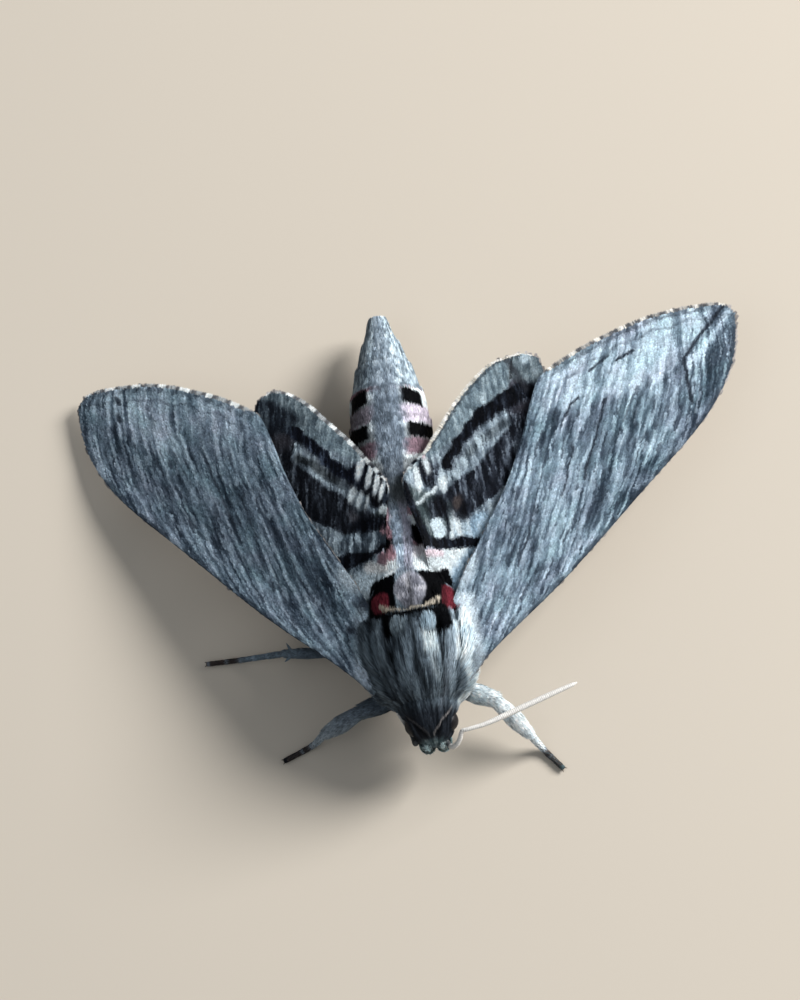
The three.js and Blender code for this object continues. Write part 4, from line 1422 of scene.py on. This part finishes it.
def forewing_tint(side, out, back):
    """Slate and frost streaks with fine black dashes, and a pale field towards the outer margin."""
    left = side == "left"
    seed = 100 if left else 120
    o = out + 0.7 * (mottle(out * 0.6, back * 0.8, seed + 1) - 0.5)
    b = back + 0.3 * (mottle(out * 0.4, back * 1.0, seed + 2) - 0.5)
    flow = stream(o, b)
    if not left:
        flow = flow - 0.04 * np.clip(o - 24, 0, 8) * np.maximum(b - 8, 0)
    long = 1.0 if left else 0.7
    tone = 0.45 * (grain(flow / 0.9, o * long / 6, seed + 3) - 0.5)
    tone = tone + 0.65 * (grain(flow / 0.38, o * long / 3.2, seed + 4) - 0.5)
    tone = tone + 0.5 * (grain(flow / 0.2, o * long / 1.6, seed + 5) - 0.5)
    cloud = mottle(o * 0.3, b * 0.42, seed + 6) - 0.5
    fleck = mottle(o * 1.3, b * 2.6, seed + 7) - 0.5
    light = 0.52 + tone + 0.2 * cloud + 0.25 * fleck

    # the pale field covers the outer third, up to a slanting line and the streak from the tip
    outside = (7 * (o - 24) + 12 * (b - 11)) / 13.9
    field = ease(outside, -0.9, 1.3) * ease(b - 0.15 * np.maximum(o - 38, 0), 3.7, 4.6)
    light = light + (0.27 if left else 0.2) * field
    if left:
        light = light - 0.1 * band(o, 20.0, 36.0, 1.5) * (1 - field)
        light = light + 0.03 * field - 0.05 * (1 - ease(o, 10, 14))
        light = light - 0.06 * spot(o, b, (24.5, 1.6), (5.5, 2.6), 0.4, 10)
        light = light - 0.07 * ease(o, 36.5, 39.5) * (1 - ease(b - 0.1 * (o - 38), 2.6, 3.2))
        for gain, centre, half in (
            (-0.28, (22.0, -1.3), (2.4, 0.6)),
            (-0.3, (28.6, -1.1), (1.6, 0.4)),
            (0.18, (32.6, 0.0), (2.6, 1.1)),
        ):
            light = light + gain * spot(o, b, centre, half, 0.4)
        light = light - 0.22 * stroke(o, b, [(36.5, -1.0), (40.0, 0.6), (45.5, 2.6)], 1.1, 0.5)
        light = light + 0.55 * stroke(o, b, [(39.8, 3.3), (44.0, 3.6), (48.0, 4.3)], 0.3, 0.25)
    else:
        # the right forewing is painted a little darker overall, as painted shade
        light = light - 0.08 - 0.05 * band(o, 10.0, 30.0, 2.0) - 0.06 * band(o, 24.0, 34.0, 1.5) * field
        light = light + 0.06 * band(o, 33.0, 38.5, 1.5) * field + 0.07 * (1 - ease(o, 9, 12))
        light = light + 0.2 * band(o, 37.5, 45.0, 1.0) * ease(b, 3.6, 4.8)
        for centre in ((38.5, 0.8), (41.0, 4.0), (42.0, 7.2), (46.0, 4.5), (44.5, 7.5)):
            light = light + 0.35 * spot(o, b, centre, (0.9, 0.35), 0.4, 24)
    tint = ramp(light, [
        (0.0, colour(46, 58, 70)), (0.5, colour(124, 143, 157)), (1.0, colour(212, 232, 244)),
    ])
    hue = (mottle(o * 0.35, b * 0.6, seed + 8) - 0.5)[..., None]
    tint = tint * (1 + hue * np.array([0.08, -0.04, 0.0]))
    dark = ease(grain(flow / 0.3, o / 1.6, seed + 9), 0.68, 0.84)
    tint = over(tint, colour(42, 51, 63), 0.6 * dark * (1 - 0.55 * field))
    bright = ease(grain(flow / 0.35, o / 1.4, seed + 10), 0.72, 0.88)
    tint = over(tint, colour(206, 226, 240), 0.5 * bright)

    dash = np.max([
        stroke(o, b, [(10, 1.5), (13, 2.9), (16, 4.6)], 0.07, 0.12),
        stroke(o, b, [(19, 3.3), (24, 6.0)], 0.1, 0.12),
        stroke(o, b, [(22, 2.8), (26, 4.9), (30.5, 7.2)], 0.13, 0.12),
        0.7 * stroke(o, b, [(30, 4.0), (34, 5.6)], 0.1, 0.12),
    ], axis=0)
    if left:
        own = [
            stroke(o, b, [(36.8, 0.2), (38.4, 2.4), (40.0, 4.1), (43.5, 4.7), (47.6, 5.0)], 0.17, 0.12),
            stroke(o, b, [(26.0, 9.0), (27.3, 9.45), (28.6, 9.3)], 0.14, 0.12),
            stroke(o, b, [(34.5, 9.2), (36.6, 8.7)], 0.14, 0.12),
            stroke(o, b, [(31.8, 10.5), (34.2, 10.3)], 0.14, 0.12),
        ]
    else:
        dash = 0.7 * dash
        own = [
            0.85 * spot(o, b, (3.6, 1.1), (0.5, 0.4), 0.4),
            # a painted shadow on the wing's root, beside the thorax
            0.95 * spot(o, b, (3.8, 4.8), (1.1, 1.5), 0.5),
            0.8 * spot(o, b, (42.5, 5.3), (0.7, 0.3), 0.4, 24),
            0.8 * spot(o, b, (44.0, 6.8), (0.6, 0.3), 0.4, 24),
        ]
    zigzag = 0.5 * np.abs((o / 1.9) % 2 - 1)
    behind = read_table(o, FOREWING_BACK[side]) - b
    outer = ease(o, 27.5, 30)
    gaps = 1 - fringe_check(side, "forewing", o * 1.12)
    dash = np.max([
        dash, *own,
        0.4 * outer * band(behind, 1.9 + zigzag, 2.15 + zigzag, 0.16),
        0.55 * outer * gaps * (1 - ease(behind, 1.0, 1.5)),
        (0.5 if left else 0.2) * outer * band(behind, 0.9, 1.15, 0.1),
    ], axis=0)
    tint = over(tint, colour(34, 40, 50), 0.88 * dash)

    front = b - read_table(o, FOREWING_FRONT)
    checks = 0.45 + 0.55 * ease(grain(o * 1.1, 0.5 + 0 * o, seed + 11), 0.35, 0.65)
    tint = over(tint, colour(46, 54, 64), 0.75 * checks * (1 - ease(front, 0.1, 0.5)))
    snow = stroke(o, b, [(-1.5, -3.0), (1.0, -0.2), (3.4, 3.0)], 0.85, 0.6) * (0.9 if left else 0.3)
    root_snow = 0.7 * spot(o, b, (5.6 if left else 7.0, 5.6), (2.6 if left else 1.8, 1.3), 0.5, 18)
    tint = over(tint, SNOW, np.maximum(snow, root_snow))
    # each side's wing tone, the right one darker as painted shade
    return tint * (1.0, 1.01, 1.03) * WING_TONE_AND_PAINTED_SHADE[side]


def hindwing_tint(side, u, v):
    """Black smoky bands across pale grey, snowy near the root, with a grey outer border."""
    left = side == "left"
    seed = 140 if left else 160
    x = u + 0.4 * (mottle(u * 1.2, v * 1.2, seed + 1) - 0.5)
    y = v + 0.4 * (mottle(u * 0.9, v * 1.1, seed + 2) - 0.5)
    rake = y - 0.5 * x
    streak = 0.5 * grain(rake * 2.6, x * 0.5, seed + 3) + 0.5 * grain(rake * 5.5, x * 0.9, seed + 4)
    streak = 0.5 + 1.35 * (streak - 0.5)
    tint = ramp(streak, [(0.2, colour(96, 110, 122)), (0.5, colour(140, 156, 170)), (0.8, FROST)])
    # the right wing's smoky and pale shades are painted darker than the left's, as painted shade
    smoke = (1.0 if left else 0.8) * ramp(streak, [
        (0.3, colour(14, 18, 26)), (0.55, colour(38, 43, 53)), (0.72, colour(76, 85, 98)),
        (0.9, colour(122, 134, 148)),
    ])
    dark = ramp(streak, [(0.35, colour(5, 7, 13)), (0.65, colour(16, 20, 29)), (0.9, colour(50, 58, 70))])
    border = ramp(0.4 * mottle(x * 1.1, y * 1.1, seed + 6) + 0.6 * streak, [
        (0.25, colour(84, 100, 112)), (0.5, colour(126, 145, 156)), (0.8, colour(182, 200, 210)),
    ])
    pale = (1.0 if left else 0.82) * ramp(streak, [
        (0.2, colour(48, 58, 68)), (0.5, colour(102, 116, 128)), (0.85, colour(182, 200, 212)),
    ])
    green = ramp(streak, [
        (0.2, colour(40, 52, 56)), (0.55, colour(78, 93, 98)), (0.85, colour(136, 150, 156)),
    ])
    tint = over(tint, border * (1.0 if left else 1.04), ease(y + 0.62 * x, 15.0, 15.6))

    # the broad smoky band, the light one behind it, and the black zigzag before the border
    centre, half = (np.interp(x, SMOKY_BAND[:, 0], SMOKY_BAND[:, column]) for column in (1, 2))
    broad = (1 - ease(np.abs(y - centre) - half, -0.25, 0.25)) * ease(x, 8.1, 8.6) * (1 - ease(x, 25.0, 26.5))
    tint = marked(tint, [
        (smoke, broad),
        (colour(64, 58, 62), 0.5 * broad * spot(x, y, (9.4, 2.5), (1.3, 0.6), 0.5)),
        (colour(84, 80, 88), 0.5 * broad * ease(x, 20.5, 22.5)),
    ])
    if left:
        middle = [(10.5, 4.6), (12.0, 4.0), (15.0, 3.1), (17.1, 2.3), (18.4, 1.2), (20.0, 0.2)]
        black = [(13.4, 4.9), (15.7, 4.5), (17.9, 3.8), (20.0, 3.0), (21.8, 1.5), (22.9, 0.65), (24.4, -0.7)]
        lights = ((11.4, 4.5), (12.9, 3.8), (14.4, 3.3), (17.1, 2.3))
    else:
        middle = [(10.5, 3.9), (12.4, 3.6), (15.4, 2.4), (18.0, 1.3), (19.6, 0.2)]
        black = [(12.2, 4.9), (15.0, 4.0), (16.8, 3.1), (20.0, 2.3), (22.0, 1.5), (23.8, 0.6), (25.6, 0.0)]
        lights = ((11.5, 4.0), (12.6, 3.6))
    dark = dark * (1.0 if left else 1 + 0.5 * ease(x, 12.5, 14.0)[..., None])
    far = ease(x, 13.5, 15.5)[..., None]
    # the far part of the pale band is painted darker on the right wing, as painted shade
    pale = pale * (1 - (0.2 if left else 0.42) * far)
    tint = over(tint, pale, stroke(x, y, middle, 0.5, 0.3))
    for light in lights:
        tint = over(tint, FROST, 0.85 * spot(x, y, light, (0.75, 0.34), 0.6, 35))
    jag = y + 0.34 * np.abs((x / 1.1) % 2 - 1) - 0.17
    wide = np.interp(x, [14, 18, 22, 24], [0.55, 0.66, 0.9, 1.1] if left else [0.6, 0.65, 0.6, 0.6])
    tint = over(tint, smoke, 0.7 * stroke(x, jag + 0.35, black, wide, 0.4))
    tint = over(tint, dark, stroke(x, jag, black, wide, 0.16))
    behind = read_table(u, HINDWING_BACK[side]) - v
    if left:
        tint = marked(tint, [
            (border * 0.8, ease(x, 24.8, 25.8) * band(y, -2.0, 1.6, 0.3)),
            (FROST, 0.85 * spot(x, y, (28.0, 0.4), (0.7, 0.5), 0.5)),
            (SOOT, 0.7 * stroke(x, y, [(25.4, 1.2), (27.9, 1.75)], 0.1, 0.14)),
            (colour(50, 56, 62), 0.7 * ease(u, 14.0, 16.0) * band(behind, 0.66, 0.88, 0.12)),
            (colour(52, 54, 60), 0.7 * stroke(x, y, [(27.6, 2.6), (26.2, 1.0), (24.4, -0.9)], 0.3, 0.4)),
        ])
    else:
        navy = ramp(streak, [
            (0.3, colour(22, 28, 38)), (0.6, colour(48, 58, 70)), (0.85, colour(92, 106, 118)),
        ])
        tint = over(tint, navy, ease(x, 22.6, 24.6) * ease(behind, 1.6, 2.8))
        # the outer part of the right wing is painted darker, as painted shade
        tint = over(tint, tint * 0.8, ease(x, 19.0, 24.0))

    # the root is snowy on the left wing and a streaked grey on the right, cut by black lines
    root = 1 - ease(x - 0.1 * y, 8.2, 8.7)
    if left:
        snowy = ramp(streak, [(0.15, ASH), (0.4, FROST), (0.65, SNOW)])
        azure = ramp(streak, [
            (0.2, colour(112, 136, 156)), (0.5, colour(150, 178, 200)), (0.8, colour(196, 218, 234)),
        ])
        inward = ease(y - 0.25 * (x - 6), 1.9, 2.6)
        tint = marked(tint, [
            (snowy, root * (1 - inward)),
            (green * 0.85, (1 - ease(x - 0.15 * y, 8.6, 9.4)) * inward),
            (smoke, 0.85 * spot(x, y, (8.0, 4.4), (1.4, 0.8), 0.4, 30)),
            (azure, 0.95 * (1 - ease(y - 0.1 * (x - 7), 0.2, 1.1)) * (1 - ease(x + 0.3 * y, 8.8, 9.8))),
            (dark, 0.85 * spot(x, y, (8.9, 1.7), (1.1, 1.1), 0.5)),
            (dark, 0.85 * spot(x, y, (8.9, 4.0), (1.3, 0.7), 0.5, 30)),
            (colour(78, 70, 68), 0.8 * spot(x, y, (9.6, 2.5), (0.8, 0.4), 0.6, 10)),
            (azure, 1 - ease(x + 0.3 * y, 4.9, 5.3)),
            (SNOW, (1 - ease(x + 0.45 * y, 5.2, 5.5)) * ease(y + 0.3 * x, 1.0, 2.0)),
        ])
        edge = np.interp(y, [0.2, 1.5, 3.7], [0.9, 2.15, 1.25])
        tint = drawn(tint, x, y, stroke, [
            (colour(240, 220, 230), 0.9, [(3.7, 2.6), (3.2, 4.6)], 0.4, 0.3),
            (colour(218, 236, 246), 1.0, [(5.95, 3.3), (6.75, 3.9)], 0.75, 0.2),
        ])
        tint = over(tint, SOOT, (1 - ease(x - edge, -0.1, 0.1)) * ease(y, 0.1, 0.4))
        tint = drawn(tint, x, y, stroke, [
            (dark, 0.9, [(5.2, 2.1), (7.1, 2.8), (8.4, 3.4), (9.7, 4.7)], 0.13, 0.16),
            (dark, 1.0, [(6.1, -1.0), (5.85, 0.2), (5.15, 1.6), (4.6, 3.0), (4.35, 4.8)], 0.58, 0.2),
        ])
        tint = over(tint, smoke, band(x, 10.4, 13.4, 0.5) * band(y, 5.3, 7.8, 0.3))
        tint = drawn(tint, x, y, stroke, [
            (dark, 1.0, [(4.6, 4.4), (6.7, 6.0), (8.0, 7.0), (9.2, 7.9), (10.0, 8.5)], 0.38, 0.2),
            (SNOW, 0.9, [(8.25, 6.4), (8.8, 6.0), (9.5, 5.85), (10.0, 5.4), (10.7, 5.2)], 0.2, 0.2),
        ])
        tint = drawn(tint, x, y, spot, [
            (SNOW * 0.92, 1.0, (11.0, 7.3), (1.8, 0.34), 0.3, 27),
            (SNOW, 0.9, (12.9, 6.9), (1.05, 0.4), 0.5, 30),
            (SNOW, 0.9, (11.3, 4.55), (0.95, 0.5), 0.5, 20),
            (colour(206, 178, 186), 0.7, (13.9, 7.6), (0.6, 0.25), 0.35, 30),
        ])
    else:
        edge = np.interp(y, [0.1, 1.4, 3.6], [1.4, 2.45, 1.85])
        bar = [(6.1, -0.9), (5.95, 0.0), (5.3, 1.5), (4.95, 2.7), (5.1, 4.0)]
        tint = marked(tint, [
            (green * 0.9, root),
            (pale * 1.35, root * (1 - ease(y, 4.0, 4.8))),
            (FROST, 0.85 * (1 - ease(x + 0.3 * y, 3.9, 4.7))),
            (colour(250, 252, 253), stroke(x, y, [(3.9, 1.5), (3.1, 2.9), (2.4, 4.1)], 0.55, 0.4)),
            (SOOT, (1 - ease(x - edge, -0.1, 0.1)) * ease(y, -0.1, 0.2)),
            (dark, stroke(x, y, bar, np.interp(y, [0, 2.8], [0.85, 0.35]), 0.25)),
            (ROSE * 0.85, 0.9 * spot(x, y, (3.9, 3.6), (0.6, 0.9), 0.4)),
            (ROSE * 0.9, 0.9 * spot(x, y, (6.9, 5.1), (1.0, 0.55), 0.4, 25)),
            (dark, spot(x, y, (8.3, 3.6), (0.9, 2.2), 0.4, 25)),
            (dark, band(x, 9.2, 15.5, 0.4) * ease(y + 0.1 * x, 5.6, 6.2)),
        ])
        tint = drawn(tint, x, y, spot, [
            (SNOW, 0.85, (8.9, 5.6), (0.55, 0.26), 0.4, 45),
            (SNOW, 0.8, (11.4, 4.1), (0.95, 0.3), 0.5, 38),
            (SNOW, 0.8, (10.6, 4.6), (0.95, 0.22), 0.5, 38),
            (SNOW, 0.8, (12.5, 3.6), (0.95, 0.45), 0.5, 38),
            (SNOW * 1.2, 0.97, (10.85, 6.6), (1.2, 0.3), 0.45, 38),
            (SNOW * 1.2, 0.97, (12.0, 6.55), (1.5, 0.36), 0.45, 38),
            (SNOW * 1.2, 0.97, (13.2, 6.2), (1.5, 0.36), 0.45, 38),
            (SNOW * 1.2, 0.97, (14.7, 5.7), (1.4, 0.45), 0.45, 38),
        ])
    # each side's wing tone, the right one darker as painted shade
    return tint * WING_TONE_AND_PAINTED_SHADE[side]


def fringe_check(side, wing, walked):
    """White spots with dark gaps along a wing's margin. Those of the left hindwing run together."""
    uneven = walked + 1.2 * (mottle(walked * 0.4, 0 * walked, 190) - 0.5)
    if side == "left" and wing == "hindwing":
        return band((uneven / 2.2) % 1.0, 0.04, 0.92, 0.3)
    gap, first, last, soft = (1.5, 0.2, 0.76, 0.12) if side == "left" else (1.6, 0.16, 0.8, 0.1)
    faint = 0.75 + 0.25 * np.sign((uneven / gap) % 2.0 - 1.0)
    return faint * band((uneven / gap) % 1.0, first, last, soft)


def margin_depth(trail, out):
    """How deep the fringe is rooted: short along the inner margin, longer past the outer corner."""
    corner = trail[np.argmax(trail[:, 1]), 0]
    return FRINGE_LENGTH * (0.35 + 0.65 * ease(out, corner - 1.5, corner + 1.0))


def fringe_root(trail):
    """How far in from the rear margin the fringe is rooted, measured across the wing."""
    slope = np.clip(np.gradient(trail[:, 1], trail[:, 0]), -1.5, 1.5)
    return margin_depth(trail, trail[:, 0]) * np.sqrt(1 + slope ** 2)


def wing_grid(front, back, along, across):
    """Even places over a wing, from the leading edge to the fringe's root."""
    lead = outline_point(front, along)
    trail = outline_point(back, along)
    width = np.linalg.norm(trail - lead, axis=-1)
    stop = 1 - np.minimum(fringe_root(trail) / width, 0.45)
    share = across[None, :, None] * stop[:, None, None]
    return lead[:, None] * (1 - share) + trail[:, None] * share


def wing_map(out, back, face):
    """A wing's flat map: the upper face, 0, has one half of it, and the lower face, 1, the other."""
    return map_place(out, -4, 50), 0.02 + 0.46 * (back + 6) / 22 + 0.5 * face


def underside_tint(out, back):
    """Plain warm grey beneath, with two faint darker lines across."""
    dust = mottle(out * 0.9, back * 1.4, 180)
    tint = ramp(dust, [
        (0.2, colour(112, 108, 106)), (0.5, colour(146, 142, 140)), (0.8, colour(176, 173, 172)),
    ])
    line = np.maximum(band(out + 0.5 * back, 22.0, 22.6, 0.4), band(out + 0.5 * back, 27.5, 28.0, 0.4))
    return over(tint, colour(96, 92, 92), 0.5 * line)


def forewing_veins(out, back):
    away = np.abs((stream(out, back) / VEIN_GAP) % 1.0 - 0.5) * VEIN_GAP * straightness(out, back)
    return ridge(away, 0, VEIN_WIDTH) * ease(out, 4, 12)


def hindwing_veins(u, v):
    rib = np.zeros(np.shape(u))
    for slope in HINDWING_VEINS:
        away = np.abs(v - slope * (u + 1.0)) / np.sqrt(1 + slope * slope)
        rib = np.maximum(rib, ridge(away, 0, 0.15))
    return rib * ease(u, -1, 2)


WINGS = {
    "forewing": {
        "place": forewing_place, "front": FOREWING_FRONT, "back": FOREWING_BACK, "tint": forewing_tint,
        "veins": forewing_veins, "lie": forewing_lie, "scales": (42500, 9000),
    },
    "hindwing": {
        "place": hindwing_place, "front": HINDWING_FRONT, "back": HINDWING_BACK, "tint": hindwing_tint,
        "veins": hindwing_veins, "lie": hindwing_lie, "scales": (22000, 4500),
    },
}


def make_blade(wing, side):
    """A wing's thin blade, thinned at its edges, with the veins raised on both faces."""
    shape = WINGS[wing]
    along = np.linspace(0.03, 0.972, BLADE_ROWS)
    across = np.linspace(0, 1, BLADE_COLUMNS)
    flat = wing_grid(shape["front"], shape["back"][side], along, across)
    out, back = flat[..., 0], flat[..., 1]
    edge = np.minimum(across, 1 - across)[None, :]
    edge = edge * np.linalg.norm(flat[:, -1] - flat[:, 0], axis=-1)[:, None]
    tip = (1 - along)[:, None] * 40.0
    thick = BLADE_HALF * np.sqrt(np.clip(np.minimum(edge, tip) / EDGE_ROUND, 0.0, 1.0)) + 0.012
    rib = shape["veins"](out, back) * VEIN_HEIGHT * ease(edge, 0.0, 0.5)
    faces = [shape["place"](side, out, back, way * (thick + rib)).reshape(-1, 3) for way in (1, -1)]
    rows, columns = out.shape
    index = np.arange(rows * columns).reshape(rows, columns)
    below = index + rows * columns
    upper = np.stack([index[:-1, :-1], index[1:, :-1], index[1:, 1:], index[:-1, 1:]], -1).reshape(-1, 4)
    lower = np.stack([below[:-1, :-1], below[:-1, 1:], below[1:, 1:], below[1:, :-1]], -1).reshape(-1, 4)
    loop = np.concatenate([index[:-1, 0], index[-1, :-1], index[:0:-1, -1], index[0, :0:-1]])
    following = np.roll(loop, -1)
    rim = np.stack([loop, loop + rows * columns, following + rows * columns, following], -1)
    quads = np.concatenate([upper, lower, rim])[:, ::-SIGN[side]]
    piece = new_piece(f"{wing}_blade_{side}", np.concatenate(faces), quads, [])
    tints = shape["tint"](side, out, back), underside_tint(out, back)
    # the blade painted darker than its scales, as painted shade
    paint(piece, np.concatenate([tint.reshape(-1, 3) * WING_BLADE_PAINTED_SHADE for tint in tints]))
    maps = [np.stack(wing_map(out, back, face), -1).reshape(-1, 2) for face in (0, 1)]
    unfold(piece, np.concatenate(maps))
    fasten(piece, wing_skin, wing, f"{wing}_{side}")


SCALE_SIZES = ((0.48, 0.18, 0.08), (0.95, 0.45, 0.1))
SCALE_PATCH = np.array([(0.0, -0.5), (-0.5, 0.1), (0.5, 0.1), (-0.35, 0.5), (0.35, 0.5)])
# painted shade at each scale's root and a painted highlight at its tip
SCALE_PAINTED_SHADING = np.array([0.72, 0.96, 0.96, 1.08, 1.08])


def shields(root, lie, outward, length, width, rise, random):
    """Blunt scales, narrow at the root and broad at the tip, each a little crowned. Five points each."""
    number = len(root)
    lie = unit(lie)
    across = unit(np.cross(outward, lie))
    tilt = random.normal(size=(number, 1)) * 0.10
    half = unit(across + outward * tilt) * width[:, None]
    middle = root + lie * length[:, None] * 0.55 + outward * rise[:, None] * 0.8
    tip = root + lie * length[:, None] + outward * rise[:, None]
    points = np.stack([root, middle - half * 0.5, middle + half * 0.5, tip - half * 0.3, tip + half * 0.3], 1)
    start = np.arange(number)[:, None] * 5
    return points.reshape(-1, 3), start + np.array([[1, 3, 4, 2]]), start + np.array([[0, 1, 2]])


def wing_frame(place, side, out, back, lift, slope):
    """Root points on a wing with the ways along the streaks and up."""
    step = 0.05
    root = place(side, out, back, lift)
    forward = place(side, out + step, back + step * slope, lift) - root
    sideways = place(side, out - step * slope, back + step, lift) - root
    up = unit(np.cross(forward, sideways))
    up = up * np.sign(up[:, 2:])
    return root, unit(forward), unit(sideways), up


def lay_scales(wing, side, face, lead, trail, random):
    """Even scales over one face of a wing, where 0 is the upper face and 1 the lower. They are strewn
    over the box around the wing, and those beyond its margins or inside the trunk are left out."""
    shape = WINGS[wing]
    way = 1 - 2 * face
    size = SCALE_SIZES[face]
    low = min(lead[:, 1].min(), trail[:, 1].min())
    high = max(lead[:, 1].max(), trail[:, 1].max())
    start = max(lead[0, 0], trail[0, 0]) + 1.2
    end = min(lead[-1, 0], trail[-1, 0])
    along, aside = strewn(int(shape["scales"][face] * SCALES_STREWN))
    out = start + (end - start) * along + random.normal(size=len(along)) * 0.06
    across = low + (high - low) * aside + random.normal(size=len(along)) * 0.06
    inside = across > read_table(out, lead) + 0.06
    inside &= across < np.interp(out, trail[:, 0], trail[:, 1] - fringe_root(trail)) + 0.05
    inside &= (out > start) & (out < end - 0.6)
    out = out[inside]
    across = across[inside]
    slope = shape["lie"](out, across)
    lift = (BLADE_HALF + 0.01) * way
    root, forward, sideways, up = wing_frame(shape["place"], side, out, across, lift, slope)
    _, _, reach = trunk_polar(root)
    keep = np.flatnonzero(reach > TRUNK_REACH)
    lie = forward + sideways * (random.normal(size=len(out)) * 0.09)[:, None]
    length = size[0] * random.uniform(0.8, 1.2, len(out))
    width = size[1] * random.uniform(0.8, 1.2, len(out))
    rise = size[2] * random.uniform(0.5, 1.5, len(out))
    if face == 0:
        tint = shape["tint"](side, out + 0.6 * size[0], across + 0.6 * size[0] * slope)
    else:
        tint = underside_tint(out, across)
    tint = uneven(tint, 0.06, random)
    found = shields(*(part[keep] for part in (root, lie, up * way, length, width, rise)), random)
    places = wing_map(out[keep], across[keep], face)
    name = f"{wing}_scales_{('above', 'below')[face]}_{side}"
    lay_coat(name, found, tint[keep], places, wing_coat, wing, SCALE_PATCH, SCALE_PAINTED_SHADING)


def lay_fringe(wing, side, lead, trail, random):
    """Fine hairs rooted along a wing's rear margin and combed outwards, in white and dark checks."""
    shape = WINGS[wing]
    edge = np.concatenate([trail, lead[-1:]])
    walked = walk(edge)
    hairs = int(walked[-1] * HAIRS_PER_MM)
    at = random.uniform(0, walked[-1], hairs)
    margin = read_path(at, walked, edge)
    heading = unit(read_path(at, walked, np.gradient(edge, walked, axis=0)))
    away = np.stack([-heading[:, 1], heading[:, 0]], -1)
    depth = margin_depth(trail, margin[:, 0])
    length = depth * random.uniform(0.78, 1.0, hairs) + 0.25
    base = margin - away * (depth + 0.25)[:, None]
    lift = random.uniform(-0.12, 0.14, hairs)
    root = shape["place"](side, *base.T, lift)
    tip = shape["place"](side, *(base + away * 0.1).T, lift)
    up = np.broadcast_to((0.0, 0.0, 1.0), root.shape)
    if wing == "forewing":
        outer_margin = ease(depth, 0.4 * FRINGE_LENGTH, 0.9 * FRINGE_LENGTH)
    else:
        outer_margin = ease(margin[:, 0], 13.4, 15.0)
    gaps = np.broadcast_to(FRINGE_GAPS[wing, side], root.shape)
    tint = over(gaps, FRINGE_WHITE[side], fringe_check(side, wing, at))
    tint = over(tint, shape["tint"](side, *base.T), 1 - outer_margin)
    tint = uneven(tint, 0.08, random)
    found = blades(root, tip - root, up, length, 0.15, random.uniform(-0.05, 0.06, hairs), 300)
    lay_coat(f"{wing}_fringe_{side}", found, tint, wing_map(*base.T, 0), wing_coat, wing)


def clad_wing(wing, side):
    """A wing's scales above and below, and the fringe of its rear margin, as three pieces."""
    random = np.random.default_rng(216 + len(side))
    line = np.linspace(0, 1, 600)
    lead = outline_point(WINGS[wing]["front"], line)
    trail = outline_point(WINGS[wing]["back"][side], line)
    for face in (0, 1):
        lay_scales(wing, side, face, lead, trail, random)
    lay_fringe(wing, side, lead, trail, random)


wing_skin = scale_material("wing_blade", 0.65, 0.8, 0.1, 0.02, 0.04)
wing_coat = scale_material("wing_scales", 0.6, 0.6, 0.08, 0.006, 0.05)
for side in SIGN:
    for wing in WINGS:
        make_blade(wing, side)
        clad_wing(wing, side)
